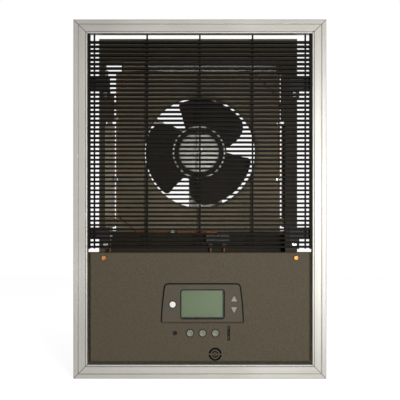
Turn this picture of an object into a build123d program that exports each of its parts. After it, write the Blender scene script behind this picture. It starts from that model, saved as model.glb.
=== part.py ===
from build123d import *
import math
import os

# Recessed fan-forced electric wall heater. Millimetres, X to the right seen from the room,
# Y into the wall, Z up. The origin is the centre of the four fixing screws on the wall face.

# Trim frame, a mitred aluminium extrusion that covers the edge of the wall opening
TRIM_W = 362.0
TRIM_H = 514.0
TRIM_DROP = 59.0
TRIM_FACE = 20.0
TRIM_DEPTH = 16.0
TRIM_WALL = 1.6
TRIM_ROUND = 1.0
BEAD_W = 6.2
GROOVE_W = 1.0
GROOVE_DEPTH = 0.7
FACE_STEP = 0.35
EDGE_BEAD_W = 2.2
KEY_LEG = 42.0
KEY_W = 13.0
KEY_T = 2.0
KEY_SCREW_R = 1.9
KEY_SCREW_PITCH = 20.0
KEY_SCREW_HEAD_R = 3.4
KEY_SCREW_HEAD_T = 1.4

# Bar grille
BAR_PITCH = 6.25
BAR_T = 2.0
BAR_DEPTH = 10.5
BAR_INSET = 1.5
TOP_GAP = 11.9
GRILLE_TO_PANEL = 4.5
SUPPORT_COUNT = 5
SUPPORT_MARGIN = 8.6
SUPPORT_W = 2.4
SIDE_LIP = 3.2
SIDE_SHEET = 0.9
SIDE_TAIL = 3.0

# Lower access panel
PANEL_SIDE_GAP = 3.3
PANEL_H = 157.1
PANEL_SET_BACK = 3.0
PANEL_SHEET = 1.2
PANEL_RETURN = 9.0
PANEL_BEND = 2.0
PANEL_FOOT_GAP = 3.5
PANEL_SCREW_IN = 3.0
PANEL_SCREW_DROP = 8.1
PANEL_SCREW_R = 1.75
PANEL_SCREW_HEAD_R = 3.4
PANEL_SCREW_HEAD_T = 2.2
PANEL_SCREW_L = 20.0
POST_R = 4.0

# Thermostat, all heights measured down from the panel's top edge
BEZEL_X = 3.5
BEZEL_DROP = 45.9
BEZEL_TOP_W = 106.0
BEZEL_BOTTOM_W = 116.0
BEZEL_H = 54.0
BEZEL_CORNER = 5.0
BEZEL_LOWER_CORNER = 1.5
BEZEL_BOW = 0.9
BEZEL_PROUD = 1.5
BEZEL_WALL = 1.8
BEZEL_ROUND = 0.9
BEZEL_GAP = 1.7
BEZEL_FLANGE = 2.2
BEZEL_FLANGE_T = 1.5
LCD_X = 3.9
LCD_DROP = 74.5
LCD_W = 61.0
LCD_H = 40.0
LCD_CORNER = 3.0
LCD_BORDER = 1.6
LCD_RECESS = 1.3
GASKET_PROUD = 0.6
LENS_T = 1.5
LCD_MODULE_MARGIN = 1.4
LCD_MASK = 0.8
LCD_SUNK = 0.6
BOARD_Y = -4.0
BOARD_T = 1.6
BOARD_SIDE = 54.0
BOARD_TOP_DROP = 50.0
BOARD_H = 79.0
CASE_DEPTH = 13.0
CASE_WALL = 1.8
CASE_CORNER = 3.0
CASE_ROUND = 1.5
CASE_VENTS = 6
CASE_VENT_PITCH = 9.0
CASE_VENT_W = 2.6
CASE_VENT_L = 24.0

# Buttons
FIT = 0.3
KEY_FIT = 0.7
KEY_ROUND = 0.5
STEM_R = 1.6
TRAVEL = 1.0
MODE_X = -39.0
MODE_DROP = 74.6
MODE_R = 4.35
MODE_PROUD = 1.4
ARROW_X = 49.0
UP_DROP = 66.0
DOWN_DROP = 82.8
ARROW_W = 9.3
ARROW_H = 8.8
ARROW_CORNER = 0.8
ARROW_ROUND = 0.3
ARROW_PROUD = 0.8
ROW_DROP = 115.9
ROW_XS = (-14.1, 3.9, 22.2)
ROW_R = 4.7
ROW_PROUD = 0.9
ROW_DISH_R = 9.0
ROW_DISH = 0.7
RESET_X = -35.7
RESET_R = 2.45
RESET_SUNK = 1.0
COLLAR = 1.4
COLLAR_T = 1.2
LEVER_X = 41.3
LEVER_SLOT_W = 3.0
LEVER_SLOT_L = 20.5
LEVER_W = 2.2
LEVER_L = 5.0
LEVER_SUNK = 0.5
CARRIAGE_W = 8.0
CARRIAGE_L = 9.0
CARRIAGE_T = 3.0
SWITCH_W = 6.0
SWITCH_H = 1.2
VENT_X = 21.9
VENT_DROP = 146.1
VENT_RINGS = ((9.0, 7.1), (4.6, 3.0), (0.9, 0.0))
VENT_BRIDGE = 2.0
SENSOR_R = 4.6
SENSOR_L = 6.0
GUARD_FIT = 0.4
GUARD_WALL = 1.2
GUARD_STEP = 1.0

# Chassis
LEFT_GAP = 15.0
RIGHT_GAP = 20.0
CHASSIS_DEPTH = 84.0
CHASSIS_SHEET = 1.2
LEFT_FLANGE = 8.5
LEFT_WIDE_FLANGE = 22.0
LEFT_WIDE_DROP = 47.9
RIGHT_FLANGE = 17.5
RIGHT_WIDE_FLANGE = 24.0
REAR_FLANGE = 8.0
CHASSIS_TOP_GAP = 5.0
HOOD_H = 33.5
HOOD_LIP = 8.0
BRACKET_OVER_PANEL = 27.1
BRACKET_H = 16.6
BRACKET_T = 1.5
BRACKET_LAP = 31.0
BRACKET_EDGE = 3.5
BRACKET_TAB = 14.0
FIXING_OUT = 9.0
FIXING_R = 2.4
FIXING_L = 30.0
FIXING_HEAD_R = 4.6
FIXING_HEAD_T = 2.8
NECK_RELIEF = 0.2
CHASSIS_SCREW_IN = 6.5
CHASSIS_SCREW_DROP = 16.0
CHASSIS_SCREW_R = 1.9
CHASSIS_SCREW_HEAD_R = 3.7
CHASSIS_SCREW_HEAD_T = 2.2
CHASSIS_SCREW_L = 9.0
EAR_W = 14.0

# Fan deck with its bell-mouthed orifice
DECK_Y = 14.0
DECK_GAP_LEFT = 23.0
DECK_GAP_RIGHT = 23.5
DECK_GAP_TOP = 13.0
DECK_GAP_BOTTOM = 28.5
DECK_BEND = 2.0
DECK_RETURN = 12.0
DECK_TAB_DROP = 54.5
DECK_TAB_RISE = 10.9
DECK_TAB_H = 9.0
DECK_TAB_LAP = 3.0
DECK_SCREW_HEAD_R = 2.8
DECK_SCREW_HEAD_T = 1.6
DECK_HEAD_ROUND = 0.6
HANGER_IN = 11.0
HANGER_W = 36.0
ORIFICE_MARGIN = 35.7
ORIFICE_SHIFT = 2.75
ORIFICE_SINK = 0.6
LIP_R = 7.0
LIP_L = 8.0

# Fan
FAN_SHIFT = 1.5
FAN_RISE = 1.4
FAN_CLEARANCE = 1.8
FAN_Y = 34.0
BLADE_COUNT = 3
BLADE_T = 1.0
BLADE_LIFT = 8.0
BLADE_CAMBER = 4.0
BLADE_START = 5.0
BLADE_LEAD_SWEEP = (4.0, 10.0, 19.0, 32.0)
BLADE_TRAIL_SWEEP = (-5.0, -9.0, -11.0, -10.0)
BLADE_STATIONS = (0.0, 0.42, 0.78, 1.0)
BLADE_ROOT_R = 37.0
BLADE_CORNER = 7.0
SPIDER_R = 41.0
SPIDER_BEAD_R = 38.0
SPIDER_BEAD = 1.6
SPIDER_BORE = 2.0
HUB_R = 30.0
HUB_NECK_L = 4.0
HUB_DISH = 3.0
HUB_BOSS_R = 9.0
HUB_BOSS_RISE = 2.0
RIVET_R = 1.9
RIVET_ORBIT = 21.0
RIVET_COUNT = 3
NUT_R = 6.2
NUT_T = 3.5

# Motor on its strap
STRAP_Y = 47.0
STRAP_T = 1.6
STRAP_W = 50.0
STRAP_SHIFT = 10.0
STRAP_FOOT = 12.0
STRAP_MARGIN = 20.0
STRAP_HOLE_R = 14.0
STRAP_SCREW_IN = 9.0
STRAP_SCREW_R = 1.9
STRAP_SCREW_HEAD_R = 3.4
STRAP_SCREW_HEAD_T = 2.0
STAY_ANGLE = 145.0
STAY_W = 13.0
STAY_START = 20.0
MOTOR_R = 42.0
BELL_L = 11.4
BELL_WALL = 1.5
BELL_ROUND = 3.0
BELL_VENTS = 6
BELL_VENT_R = 26.0
BELL_VENT_L = 13.0
BELL_VENT_W = 3.6
CORE_L = 12.0
ROTOR_R = 22.0
AIR_GAP = 0.4
CORE_BORE_POLES = 8
SLOT_ROOT_R = 34.0
SLOT_EDGE = 2.0
SLOT_W = 9.0
WINDING_PROUD = 1.5
WINDING_FIT = 0.2
SHAFT_R = 4.0
SHAFT_SHOWN = 0.8
SHAFT_TAIL = 0.5
SHAFT_RUN = 0.05
SHAFT_CHAMFER = 0.6
BEARING_R = 8.0
BEARING_L = 7.0
BEARING_FIT = 0.05
BEARING_SEAT = 2.0
MOTOR_SCREW_ORBIT = 32.0
MOTOR_SCREW_R = 1.9
MOTOR_SCREW_HEAD_R = 3.4
MOTOR_SCREW_HEAD_T = 2.2
MOTOR_SCREW_GRIP = 3.0

# Heating elements and controls
ELEMENT_FROM_SIDE = 10.8
ELEMENT_Y = 35.0
SHEATH_R = 4.0
SHEATH_GAP_TOP = 7.5
SHEATH_TAIL = 12.1
SHEATH_JOG = 6.5
SHEATH_JOG_DROP = 48.0
SHEATH_JOG_L = 22.0
SHEATH_BEND_R = 30.0
FIN_DROP = 73.9
FIN_RISE = 6.3
FIN_W = 15.4
FIN_T = 0.6
FIN_PITCH = 5.1
STRIP_T = 5.0
STRIP_ROUND = 1.2
PIN_R = 1.6
PIN_L = 12.0
CLIP_T = 1.2
CLIP_W = 9.0
CLIP_GAP = 0.15
CLIP_DROP = 3.0
CLIP_REACH = 14.0
TRAY_Y = 46.0
TRAY_SIDE = 14.0
KNOCKOUT_R = 11.1
KNOCKOUT_SCORE = 0.5
KNOCKOUT_X = 30.0
KNOCKOUT_DROP = 62.0
BAFFLE_Y = 40.0
BAFFLE_DROP = 12.5
BAFFLE_NOTCH = 2.5
BAFFLE_IN_LEFT = 6.0
BAFFLE_IN_RIGHT = 6.5
BAFFLE_LIP = 8.0

# Linear limit: a copper capillary round the deck, held by saddle clips, and its switch
CAPILLARY_R = 1.0
CAPILLARY_IN_LEFT = 1.6
CAPILLARY_IN_RIGHT = 1.2
CAPILLARY_BELOW = 0.6
CAPILLARY_SINK = 5.0
CAPILLARY_LOW_CORNER = (29.4, 25.0)
CAPILLARY_LEFT_CORNER = (24.0, 28.0)
CAPILLARY_RIGHT_CORNER = 39.0
CAPILLARY_HANGER_GAP = 6.0
CAPILLARY_DIVE = 20.0
CAPILLARY_RISE_IN = 27.0
CAPILLARY_END = 55.0
CAPILLARY_BENDS = (2.0, 2.5, 14.0, 16.0, 16.0, 9.0, 12.0, 12.0, 12.0, 9.0, 16.0)
SADDLE_T = 0.7
SADDLE_W = 5.0
SADDLE_FOOT = 3.2
SADDLE_SPOTS = ((-1, 50.8), (-1, -39.2), (1, 40.8), (1, -39.2))
SADDLE_LOW_X = 40.0
LIMIT_X = 26.0
LIMIT_W = 34.0
LIMIT_H = 15.0
LIMIT_Y0 = 20.0
LIMIT_D = 20.0
LIMIT_CORNER = 2.0
LIMIT_NECK_R = 4.5
LIMIT_NECK_L = 3.0
TAB_W = 6.0
TAB_L = 7.0
TAB_T = 0.8
LIMIT_TAB_X = 10.0
LIMIT_TAB_Y = 8.0

# Supply side
BLOCK_IN = 46.0
BLOCK_DROP = 100.0
BLOCK_POLES = 3
BLOCK_PITCH = 13.0
BLOCK_END = 5.0
BLOCK_CHANNEL = 10.0
BLOCK_CHANNEL_D = 6.0
BLOCK_H = 22.0
BLOCK_D = 16.0
BLOCK_SCREW_R = 3.0
BLOCK_SCREW_T = 2.5
BLOCK_SCREW_SLOT = 0.8
RELAY_IN = 45.0
RELAY_DROP = 84.0
RELAY_W = 36.0
RELAY_H = 42.0
RELAY_D = 26.0
RELAY_ROUND = 1.2
RELAY_TABS = (-12.0, -4.0, 4.0, 12.0)
RELAY_TAB_W = 4.8
GROUND_X = 20.0
GROUND_DROP = 140.0
GROUND_R = 2.2
GROUND_HEAD_R = 4.2
GROUND_HEAD_T = 2.6
GROUND_L = 7.0

# Leads, arcs as large as their clearances leave room for
WIRE_R = 1.3
LEAD_DROP = 16.0
LEAD_SWAY = 8.0
LEAD_FALL = 22.0
LEAD_SWAY_Y = 30.0
LEAD_POLE_Y = 38.0
LEAD_POLE_RISE = 18.0
LEAD_POLE_BENDS = (5.0, 8.0, 7.0)
LEAD_RELAY_RISE = 14.0
LEAD_RELAY_DROP = 12.0
LEAD_RELAY_BENDS = (5.0, 6.0)
LEAD_LIMIT_DROP = 9.0
LEAD_LIMIT_RISE = 13.0
LEAD_LIMIT_BENDS = (4.0, 5.0)
LEAD_LONG_DROP = 10.0
LEAD_LONG_SWAY = 30.0
LEAD_LONG_Y = 24.0
LEAD_LONG_FALL = 16.0
LEAD_LONG_RISE = 17.0
LEAD_LONG_BENDS = (4.0, 12.0, 7.0)
LEAD_TOP_BEND = 12.0

# Places that follow from the sizes above
OPEN_X = TRIM_W / 2 - TRIM_FACE
OPEN_TOP = TRIM_H / 2 - TRIM_FACE - TRIM_DROP
OPEN_BOTTOM = TRIM_FACE - TRIM_H / 2 - TRIM_DROP
FRONT_Y = -TRIM_DEPTH
LIP_BACK_Y = -BRACKET_T
BAR_FRONT = FRONT_Y + BAR_INSET
BAR_BACK = BAR_FRONT + BAR_DEPTH
BAR_END = OPEN_X - SIDE_SHEET
FIRST_BAR = OPEN_TOP - TOP_GAP
PANEL_Y = FRONT_Y + PANEL_SET_BACK
PANEL_BACK = PANEL_Y + PANEL_SHEET
PANEL_BOTTOM = OPEN_BOTTOM + PANEL_FOOT_GAP
PANEL_TOP = PANEL_BOTTOM + PANEL_H
BAR_COUNT = int((FIRST_BAR - PANEL_TOP - GRILLE_TO_PANEL) / BAR_PITCH) + 1
LAST_BAR = FIRST_BAR - BAR_PITCH * (BAR_COUNT - 1)
GRILLE_END = LAST_BAR - SIDE_TAIL
SUPPORT_PITCH = 2 * (OPEN_X - SUPPORT_MARGIN) / (SUPPORT_COUNT - 1)
BEZEL_TOP = PANEL_TOP - BEZEL_DROP
BEZEL_FRONT = PANEL_Y - BEZEL_PROUD
BOARD_BACK = BOARD_Y + BOARD_T
ROW_Z = PANEL_TOP - ROW_DROP
CHASSIS_TOP = OPEN_TOP - CHASSIS_TOP_GAP
HOOD_BOTTOM = CHASSIS_TOP - HOOD_H
CHASSIS_BOTTOM = PANEL_BOTTOM
CHASSIS_LEFT = LEFT_GAP - OPEN_X
CHASSIS_RIGHT = OPEN_X - RIGHT_GAP
WEB_LEFT = CHASSIS_LEFT + CHASSIS_SHEET
WEB_RIGHT = CHASSIS_RIGHT - CHASSIS_SHEET
PANEL_SCREW_X = CHASSIS_RIGHT - PANEL_SCREW_IN
BRACKET_RISE = -PANEL_TOP - BRACKET_OVER_PANEL
BRACKET_INNER = OPEN_X - BRACKET_LAP
BRACKET_OUTER = TRIM_W / 2 - BRACKET_EDGE
FIXING_X = OPEN_X + FIXING_OUT
CHASSIS_SCREW_X = BRACKET_INNER + CHASSIS_SCREW_IN
DECK_LEFT = CHASSIS_LEFT + DECK_GAP_LEFT
DECK_RIGHT = CHASSIS_RIGHT - DECK_GAP_RIGHT
DECK_TOP = HOOD_BOTTOM - DECK_GAP_TOP
DECK_BOTTOM = PANEL_TOP + DECK_GAP_BOTTOM
HANGER_LEFT = DECK_LEFT + HANGER_IN
ORIFICE_X = (DECK_LEFT + DECK_RIGHT) / 2 + ORIFICE_SHIFT
ORIFICE_Z = (DECK_TOP + DECK_BOTTOM) / 2 - ORIFICE_SINK
ORIFICE_R = (DECK_TOP - DECK_BOTTOM) / 2 - ORIFICE_MARGIN
FAN_X = ORIFICE_X - FAN_SHIFT
FAN_Z = ORIFICE_Z + FAN_RISE
FAN_R = ORIFICE_R - FAN_CLEARANCE
STRAP_REACH = ORIFICE_R + STRAP_MARGIN
MOTOR_Y = STRAP_Y + STRAP_T
CORE_Y = MOTOR_Y + BELL_L
REAR_BELL_Y = CORE_Y + CORE_L
MOTOR_END = REAR_BELL_Y + BELL_L
FAN_AXIS = (FAN_X, FAN_Z)
NUT_Y = FAN_Y - BLADE_T / 2 - HUB_DISH - HUB_BOSS_RISE
ELEMENT_LEFT = WEB_LEFT + ELEMENT_FROM_SIDE
ELEMENT_RIGHT = WEB_RIGHT - ELEMENT_FROM_SIDE
SHEATH_TOP = HOOD_BOTTOM - SHEATH_GAP_TOP
SHEATH_BOTTOM = DECK_BOTTOM - SHEATH_TAIL
SHEATH_JOG_Z = SHEATH_TOP - SHEATH_JOG_DROP
FIN_TOP = DECK_TOP - FIN_DROP
FIN_BOTTOM = DECK_BOTTOM + FIN_RISE
BAFFLE_BOTTOM = HOOD_BOTTOM - BAFFLE_DROP
BAFFLE_NOTCH_Z = HOOD_BOTTOM + BAFFLE_NOTCH
BAFFLE_LEFT = DECK_LEFT + BAFFLE_IN_LEFT
BAFFLE_RIGHT = DECK_RIGHT + BAFFLE_IN_RIGHT
BLOCK_X = ELEMENT_LEFT + BLOCK_IN
RELAY_X = ELEMENT_RIGHT - RELAY_IN
TRAY_TOP = DECK_BOTTOM
TRAY_BACK = TRAY_Y + CHASSIS_SHEET


def block(x0, x1, y0, y1, z0, z1):
    """A box between two corners."""
    size = (abs(x1 - x0), abs(y1 - y0), abs(z1 - z0))
    middle = ((x0 + x1) / 2, (y0 + y1) / 2, (z0 + z1) / 2)
    return Pos(*middle) * Box(*size)


def plate(outline, y0, y1):
    """A face drawn in X and Z, given thickness from y0 to y1."""
    return extrude(Plane.XZ.offset(-y1) * outline, y1 - y0)


def disc(x, z, radius, y0, y1):
    """A round bar along Y."""
    return plate(Pos(x, z) * Circle(radius), y0, y1)


def ring(x, z, outer, inner, y0, y1):
    """A round washer or sleeve along Y."""
    return plate(Pos(x, z) * (Circle(outer) - Circle(inner)), y0, y1)


def tube(points, radii, radius):
    """A round bar along straight runs joined by tangent arcs."""
    path = FilletPolyline(*points, radius=radii)
    section = Plane(origin=path @ 0, z_dir=path % 0) * Circle(radius)
    return sweep(section, path=path)


def pan_screw(x, z, head_r, shank_r, seat_y, length, head_t, neck=0.0):
    """A pan-head screw driven along +Y, its head seated at seat_y, with a cross recess."""
    head = disc(x, z, head_r, seat_y - head_t, seat_y)
    head = fillet(head.edges().group_by(Axis.Y)[0], head_t * 0.4)
    arm = head_r * 0.55
    slot = head_r * 0.14
    depth = head_t * 0.45
    cross = block(x - arm, x + arm, seat_y - head_t, seat_y - head_t + depth, z - slot, z + slot)
    cross += block(x - slot, x + slot, seat_y - head_t, seat_y - head_t + depth, z - arm, z + arm)
    shank = disc(x, z, shank_r, seat_y + neck, seat_y + length)
    shank = chamfer(shank.edges().group_by(Axis.Y)[-1], shank_r * 0.4)
    if neck:
        shank += disc(x, z, shank_r - NECK_RELIEF, seat_y, seat_y + neck)
    return head - cross + shank


def save(name, *pieces):
    """Writes one node: a single solid, or a group of separate ones."""
    solids = [solid for piece in pieces for solid in piece.solids()]
    shape = solids[0] if len(solids) == 1 else Compound(solids)
    export_step(shape, os.path.join("parts", name + ".step"))


# Trim frame

def trim_profile():
    """Section of the extrusion: u runs in from the outer edge, v runs back from the front."""
    face = FACE_STEP
    back = TRIM_WALL + FACE_STEP
    lip = TRIM_DEPTH + LIP_BACK_Y
    inner = TRIM_FACE - TRIM_WALL
    groove = BEAD_W + GROOVE_W
    floor = FACE_STEP + GROOVE_DEPTH
    bead = TRIM_FACE - EDGE_BEAD_W
    points = [(0, 0), (BEAD_W, 0), (BEAD_W, floor), (groove, floor), (groove, face),
              (bead - GROOVE_W, face), (bead - GROOVE_W / 2, floor), (bead, 0),
              (TRIM_FACE, 0), (TRIM_FACE, lip), (inner, lip), (inner, back + GROOVE_DEPTH),
              (TRIM_WALL, back + GROOVE_DEPTH), (TRIM_WALL, TRIM_DEPTH), (0, TRIM_DEPTH)]
    outline = make_face(Polyline(*points, close=True))
    rounded = outline.vertices().group_by(Axis.Y)[0]
    outer = [v for v in rounded if v.X in (0, TRIM_FACE)]
    return fillet(outer, TRIM_ROUND)


def trim_length(length, turn, reach):
    """One mitred length: reach is its outer edge's distance from the frame's centre."""
    half = length / 2
    plane = Plane(origin=(-half, FRONT_Y, reach), x_dir=(0, 0, -1), z_dir=(1, 0, 0))
    bar = extrude(plane * trim_profile(), length)
    mitre = Polyline((-half, reach), (half, reach), (half - TRIM_FACE, reach - TRIM_FACE),
                     (TRIM_FACE - half, reach - TRIM_FACE), close=True)
    bar = bar & plate(make_face(mitre), FRONT_Y, 0)
    return Pos(0, 0, -TRIM_DROP) * Rot(0, turn, 0) * bar


def corner_key(side, level):
    """Flat steel angle that joins two lengths inside a corner of the trim."""
    x = side * (TRIM_W / 2 - TRIM_FACE / 2)
    z = level * (TRIM_H / 2 - TRIM_FACE / 2)
    y0 = FRONT_Y + TRIM_WALL + FACE_STEP + GROOVE_DEPTH
    half = KEY_W / 2
    points = [(x + side * half, z + level * half), (x - side * KEY_LEG, z + level * half),
              (x - side * KEY_LEG, z - level * half), (x - side * half, z - level * half),
              (x - side * half, z - level * KEY_LEG), (x + side * half, z - level * KEY_LEG)]
    key = plate(make_face(Polyline(*points, close=True)), y0, y0 + KEY_T)
    screws = []
    for dx, dz in ((KEY_SCREW_PITCH, 0), (0, KEY_SCREW_PITCH)):
        sx = x - side * dx
        sz = z - level * dz
        key -= disc(sx, sz, KEY_SCREW_R + CLIP_GAP, y0, y0 + KEY_T)
        screw = disc(sx, sz, KEY_SCREW_R, y0, y0 + KEY_T)
        screw += disc(sx, sz, KEY_SCREW_HEAD_R, y0 + KEY_T, y0 + KEY_T + KEY_SCREW_HEAD_T)
        screws.append(Pos(0, 0, -TRIM_DROP) * screw)
    return Pos(0, 0, -TRIM_DROP) * key, screws


def make_trim():
    save("trim_top", trim_length(TRIM_W, 0, TRIM_H / 2))
    save("trim_bottom", trim_length(TRIM_W, 180, TRIM_H / 2))
    save("trim_left", trim_length(TRIM_H, -90, TRIM_W / 2))
    save("trim_right", trim_length(TRIM_H, 90, TRIM_W / 2))
    keys = []
    screws = []
    for side in (-1, 1):
        for level in (-1, 1):
            key, pair = corner_key(side, level)
            keys.append(key)
            screws += pair
    save("corner_keys", *keys)
    save("corner_key_screws", *screws)


# Bar grille

def make_grille():
    bars = []
    for index in range(BAR_COUNT):
        z = FIRST_BAR - BAR_PITCH * index
        bar = block(-BAR_END, BAR_END, BAR_FRONT, BAR_BACK, z - BAR_T / 2, z + BAR_T / 2)
        bars.append(bar)
    save("grille_bars", *bars)
    supports = []
    for index in range(SUPPORT_COUNT):
        x = SUPPORT_PITCH * (index - (SUPPORT_COUNT - 1) / 2)
        rod = block(x - SUPPORT_W / 2, x + SUPPORT_W / 2, BAR_BACK, LIP_BACK_Y, GRILLE_END, OPEN_TOP)
        supports.append(rod)
    save("grille_supports", *supports)
    for side, name in ((-1, "grille_side_left"), (1, "grille_side_right")):
        outer = OPEN_X * side
        web = (OPEN_X - SIDE_SHEET) * side
        lip = (OPEN_X - SIDE_LIP) * side
        channel = block(outer, lip, BAR_FRONT - SIDE_SHEET, BAR_BACK + SIDE_SHEET, GRILLE_END, OPEN_TOP)
        channel -= block(web, lip, BAR_FRONT, BAR_BACK, GRILLE_END, OPEN_TOP)
        save(name, channel)


# Access panel

def bezel_outline(grow):
    """The thermostat's front outline: straight top and bottom, sides that bow outward."""
    top = BEZEL_TOP + grow
    bottom = BEZEL_TOP - BEZEL_H - grow
    half_top = BEZEL_TOP_W / 2 + grow
    half_bottom = BEZEL_BOTTOM_W / 2 + grow
    mid_x = (half_top + half_bottom) / 2 + BEZEL_BOW
    mid_z = (top + bottom) / 2
    left = ThreePointArc((BEZEL_X - half_top, top), (BEZEL_X - mid_x, mid_z), (BEZEL_X - half_bottom, bottom))
    right = ThreePointArc((BEZEL_X + half_bottom, bottom), (BEZEL_X + mid_x, mid_z),
                          (BEZEL_X + half_top, top))
    base = Line((BEZEL_X - half_bottom, bottom), (BEZEL_X + half_bottom, bottom))
    head = Line((BEZEL_X + half_top, top), (BEZEL_X - half_top, top))
    outline = make_face([left, base, right, head])
    outline = fillet(outline.vertices().group_by(Axis.Y)[-1], BEZEL_CORNER + grow)
    return fillet(outline.vertices().group_by(Axis.Y)[0], BEZEL_LOWER_CORNER)


def arrow(drop, grow, upward):
    """Triangular key outline with rounded corners."""
    z = PANEL_TOP - drop
    half = ARROW_W / 2
    tip = ARROW_H / 2 if upward else -ARROW_H / 2
    points = [(ARROW_X - half, z - tip), (ARROW_X + half, z - tip), (ARROW_X, z + tip)]
    outline = make_face(Polyline(*points, close=True))
    if grow:
        outline = offset(outline, grow, kind=Kind.INTERSECTION)
    return fillet(outline.vertices(), ARROW_CORNER)


def make_panel():
    half = OPEN_X - PANEL_SIDE_GAP
    back = PANEL_Y + PANEL_RETURN
    outer = block(-half, half, PANEL_Y, back, PANEL_BOTTOM, PANEL_TOP)
    front = outer.edges().group_by(Axis.Y)[0]
    outer = fillet(front, PANEL_BEND)
    inner = block(PANEL_SHEET - half, half - PANEL_SHEET, PANEL_BACK, back,
                  PANEL_BOTTOM + PANEL_SHEET, PANEL_TOP - PANEL_SHEET)
    panel = outer - inner
    flange = OPEN_X - FIT
    panel += block(-flange, flange, back - PANEL_SHEET, back, OPEN_BOTTOM, PANEL_BOTTOM + PANEL_SHEET)
    for side in (-1, 1):
        panel += block(side * (half - PANEL_SHEET), side * flange, back - PANEL_SHEET, back,
                       OPEN_BOTTOM, PANEL_TOP)
        panel -= disc(side * PANEL_SCREW_X, PANEL_TOP - PANEL_SCREW_DROP,
                      PANEL_SCREW_R + FIT, PANEL_Y, PANEL_BACK)
    panel -= plate(bezel_outline(BEZEL_GAP), PANEL_Y, PANEL_BACK)
    for x in ROW_XS:
        panel -= disc(x, ROW_Z, ROW_R + KEY_FIT, PANEL_Y, PANEL_BACK)
    panel -= disc(RESET_X, ROW_Z, RESET_R + FIT, PANEL_Y, PANEL_BACK)
    slot = Pos(LEVER_X, ROW_Z) * RectangleRounded(LEVER_SLOT_W, LEVER_SLOT_L, LEVER_SLOT_W * 0.45)
    panel -= plate(slot, PANEL_Y, PANEL_BACK)
    vent_z = PANEL_TOP - VENT_DROP
    bridge = block(VENT_X - VENT_RINGS[0][0], VENT_X + VENT_RINGS[0][0], PANEL_Y, PANEL_BACK,
                   vent_z - VENT_BRIDGE / 2, vent_z + VENT_BRIDGE / 2)
    for outer_r, inner_r in VENT_RINGS:
        if inner_r:
            panel -= ring(VENT_X, vent_z, outer_r, inner_r, PANEL_Y, PANEL_BACK) - bridge
        else:
            panel -= disc(VENT_X, vent_z, outer_r, PANEL_Y, PANEL_BACK)
    save("access_panel", panel)

    screws = []
    posts = []
    for side in (-1, 1):
        x = side * PANEL_SCREW_X
        z = PANEL_TOP - PANEL_SCREW_DROP
        screws.append(pan_screw(x, z, PANEL_SCREW_HEAD_R, PANEL_SCREW_R, PANEL_Y, PANEL_SCREW_L,
                                PANEL_SCREW_HEAD_T))
        hexagon = Pos(x, z) * RegularPolygon(POST_R, 6, major_radius=False)
        post = plate(hexagon, PANEL_BACK, 0)
        post -= disc(x, z, PANEL_SCREW_R + CLIP_GAP, PANEL_BACK, 0)
        posts.append(post)
    save("panel_screws", *screws)
    save("panel_posts", *posts)

    z = PANEL_TOP - VENT_DROP
    sensor = disc(VENT_X, z, SENSOR_R, PANEL_BACK, PANEL_BACK + SENSOR_L)
    sensor = fillet(sensor.edges().group_by(Axis.Y)[-1], SENSOR_R * 0.6)
    guard_in = VENT_RINGS[1][0] + GUARD_FIT
    guard = ring(VENT_X, z, guard_in + GUARD_WALL, guard_in, PANEL_BACK, PANEL_BACK + SENSOR_L / 2)
    reach = guard_in + GUARD_WALL / 2
    web = block(VENT_X - reach, VENT_X + reach, PANEL_BACK + GUARD_STEP, PANEL_BACK + SENSOR_L / 2,
                z - VENT_BRIDGE / 2, z + VENT_BRIDGE / 2)
    save("room_sensor", sensor + guard + web)


# Thermostat

def lcd_window(grow):
    size = (LCD_W + 2 * grow, LCD_H + 2 * grow)
    return Pos(LCD_X, PANEL_TOP - LCD_DROP) * RectangleRounded(*size, LCD_CORNER + grow)


def make_bezel():
    shell = plate(bezel_outline(0), BEZEL_FRONT, BOARD_Y)
    rim = shell.edges().group_by(Axis.Y)[0]
    shell = fillet(rim, BEZEL_ROUND)
    shell -= plate(bezel_outline(-BEZEL_WALL), BEZEL_FRONT + BEZEL_WALL, BOARD_Y)
    flange = plate(bezel_outline(BEZEL_GAP + BEZEL_FLANGE), PANEL_BACK, PANEL_BACK + BEZEL_FLANGE_T)
    flange -= plate(bezel_outline(-BEZEL_WALL / 2), PANEL_BACK, PANEL_BACK + BEZEL_FLANGE_T)
    shell += flange
    shell -= plate(lcd_window(LCD_BORDER), BEZEL_FRONT, BEZEL_FRONT + BEZEL_WALL)
    wall = (BEZEL_FRONT, BEZEL_FRONT + BEZEL_WALL)
    shell -= disc(MODE_X, PANEL_TOP - MODE_DROP, MODE_R + KEY_FIT, *wall)
    shell -= plate(arrow(UP_DROP, FIT, True), *wall)
    shell -= plate(arrow(DOWN_DROP, FIT, False), *wall)
    save("thermostat_bezel", shell)


def make_display():
    seat = BEZEL_FRONT + LCD_RECESS
    gasket_y = seat - GASKET_PROUD
    gasket = plate(lcd_window(LCD_BORDER) - lcd_window(0), gasket_y, seat + LENS_T)
    lens = plate(lcd_window(0), seat, seat + LENS_T)
    module_y = seat + LENS_T
    grow = LCD_BORDER + LCD_MODULE_MARGIN
    module = plate(lcd_window(grow), module_y, BOARD_Y)
    window = plate(lcd_window(-LCD_MASK), module_y, module_y + LCD_SUNK)
    save("lcd_gasket", gasket)
    save("lcd_lens", lens)
    save("lcd_module", module - window)


def push_button(outline, collar, front_y, wall_back):
    """A key cap through its wall, with a collar that keeps it from falling out."""
    cap = plate(outline, front_y, wall_back + FIT)
    cap += plate(collar, wall_back + FIT, wall_back + FIT + COLLAR_T)
    return cap


def round_key(x, z, radius, front_y, wall_back, foot_y):
    key = push_button(Pos(x, z) * Circle(radius), Pos(x, z) * Circle(radius + COLLAR), front_y, wall_back)
    key = fillet(key.edges().group_by(Axis.Y)[0], KEY_ROUND)
    return key + disc(x, z, STEM_R, wall_back + FIT + COLLAR_T, foot_y)


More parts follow.
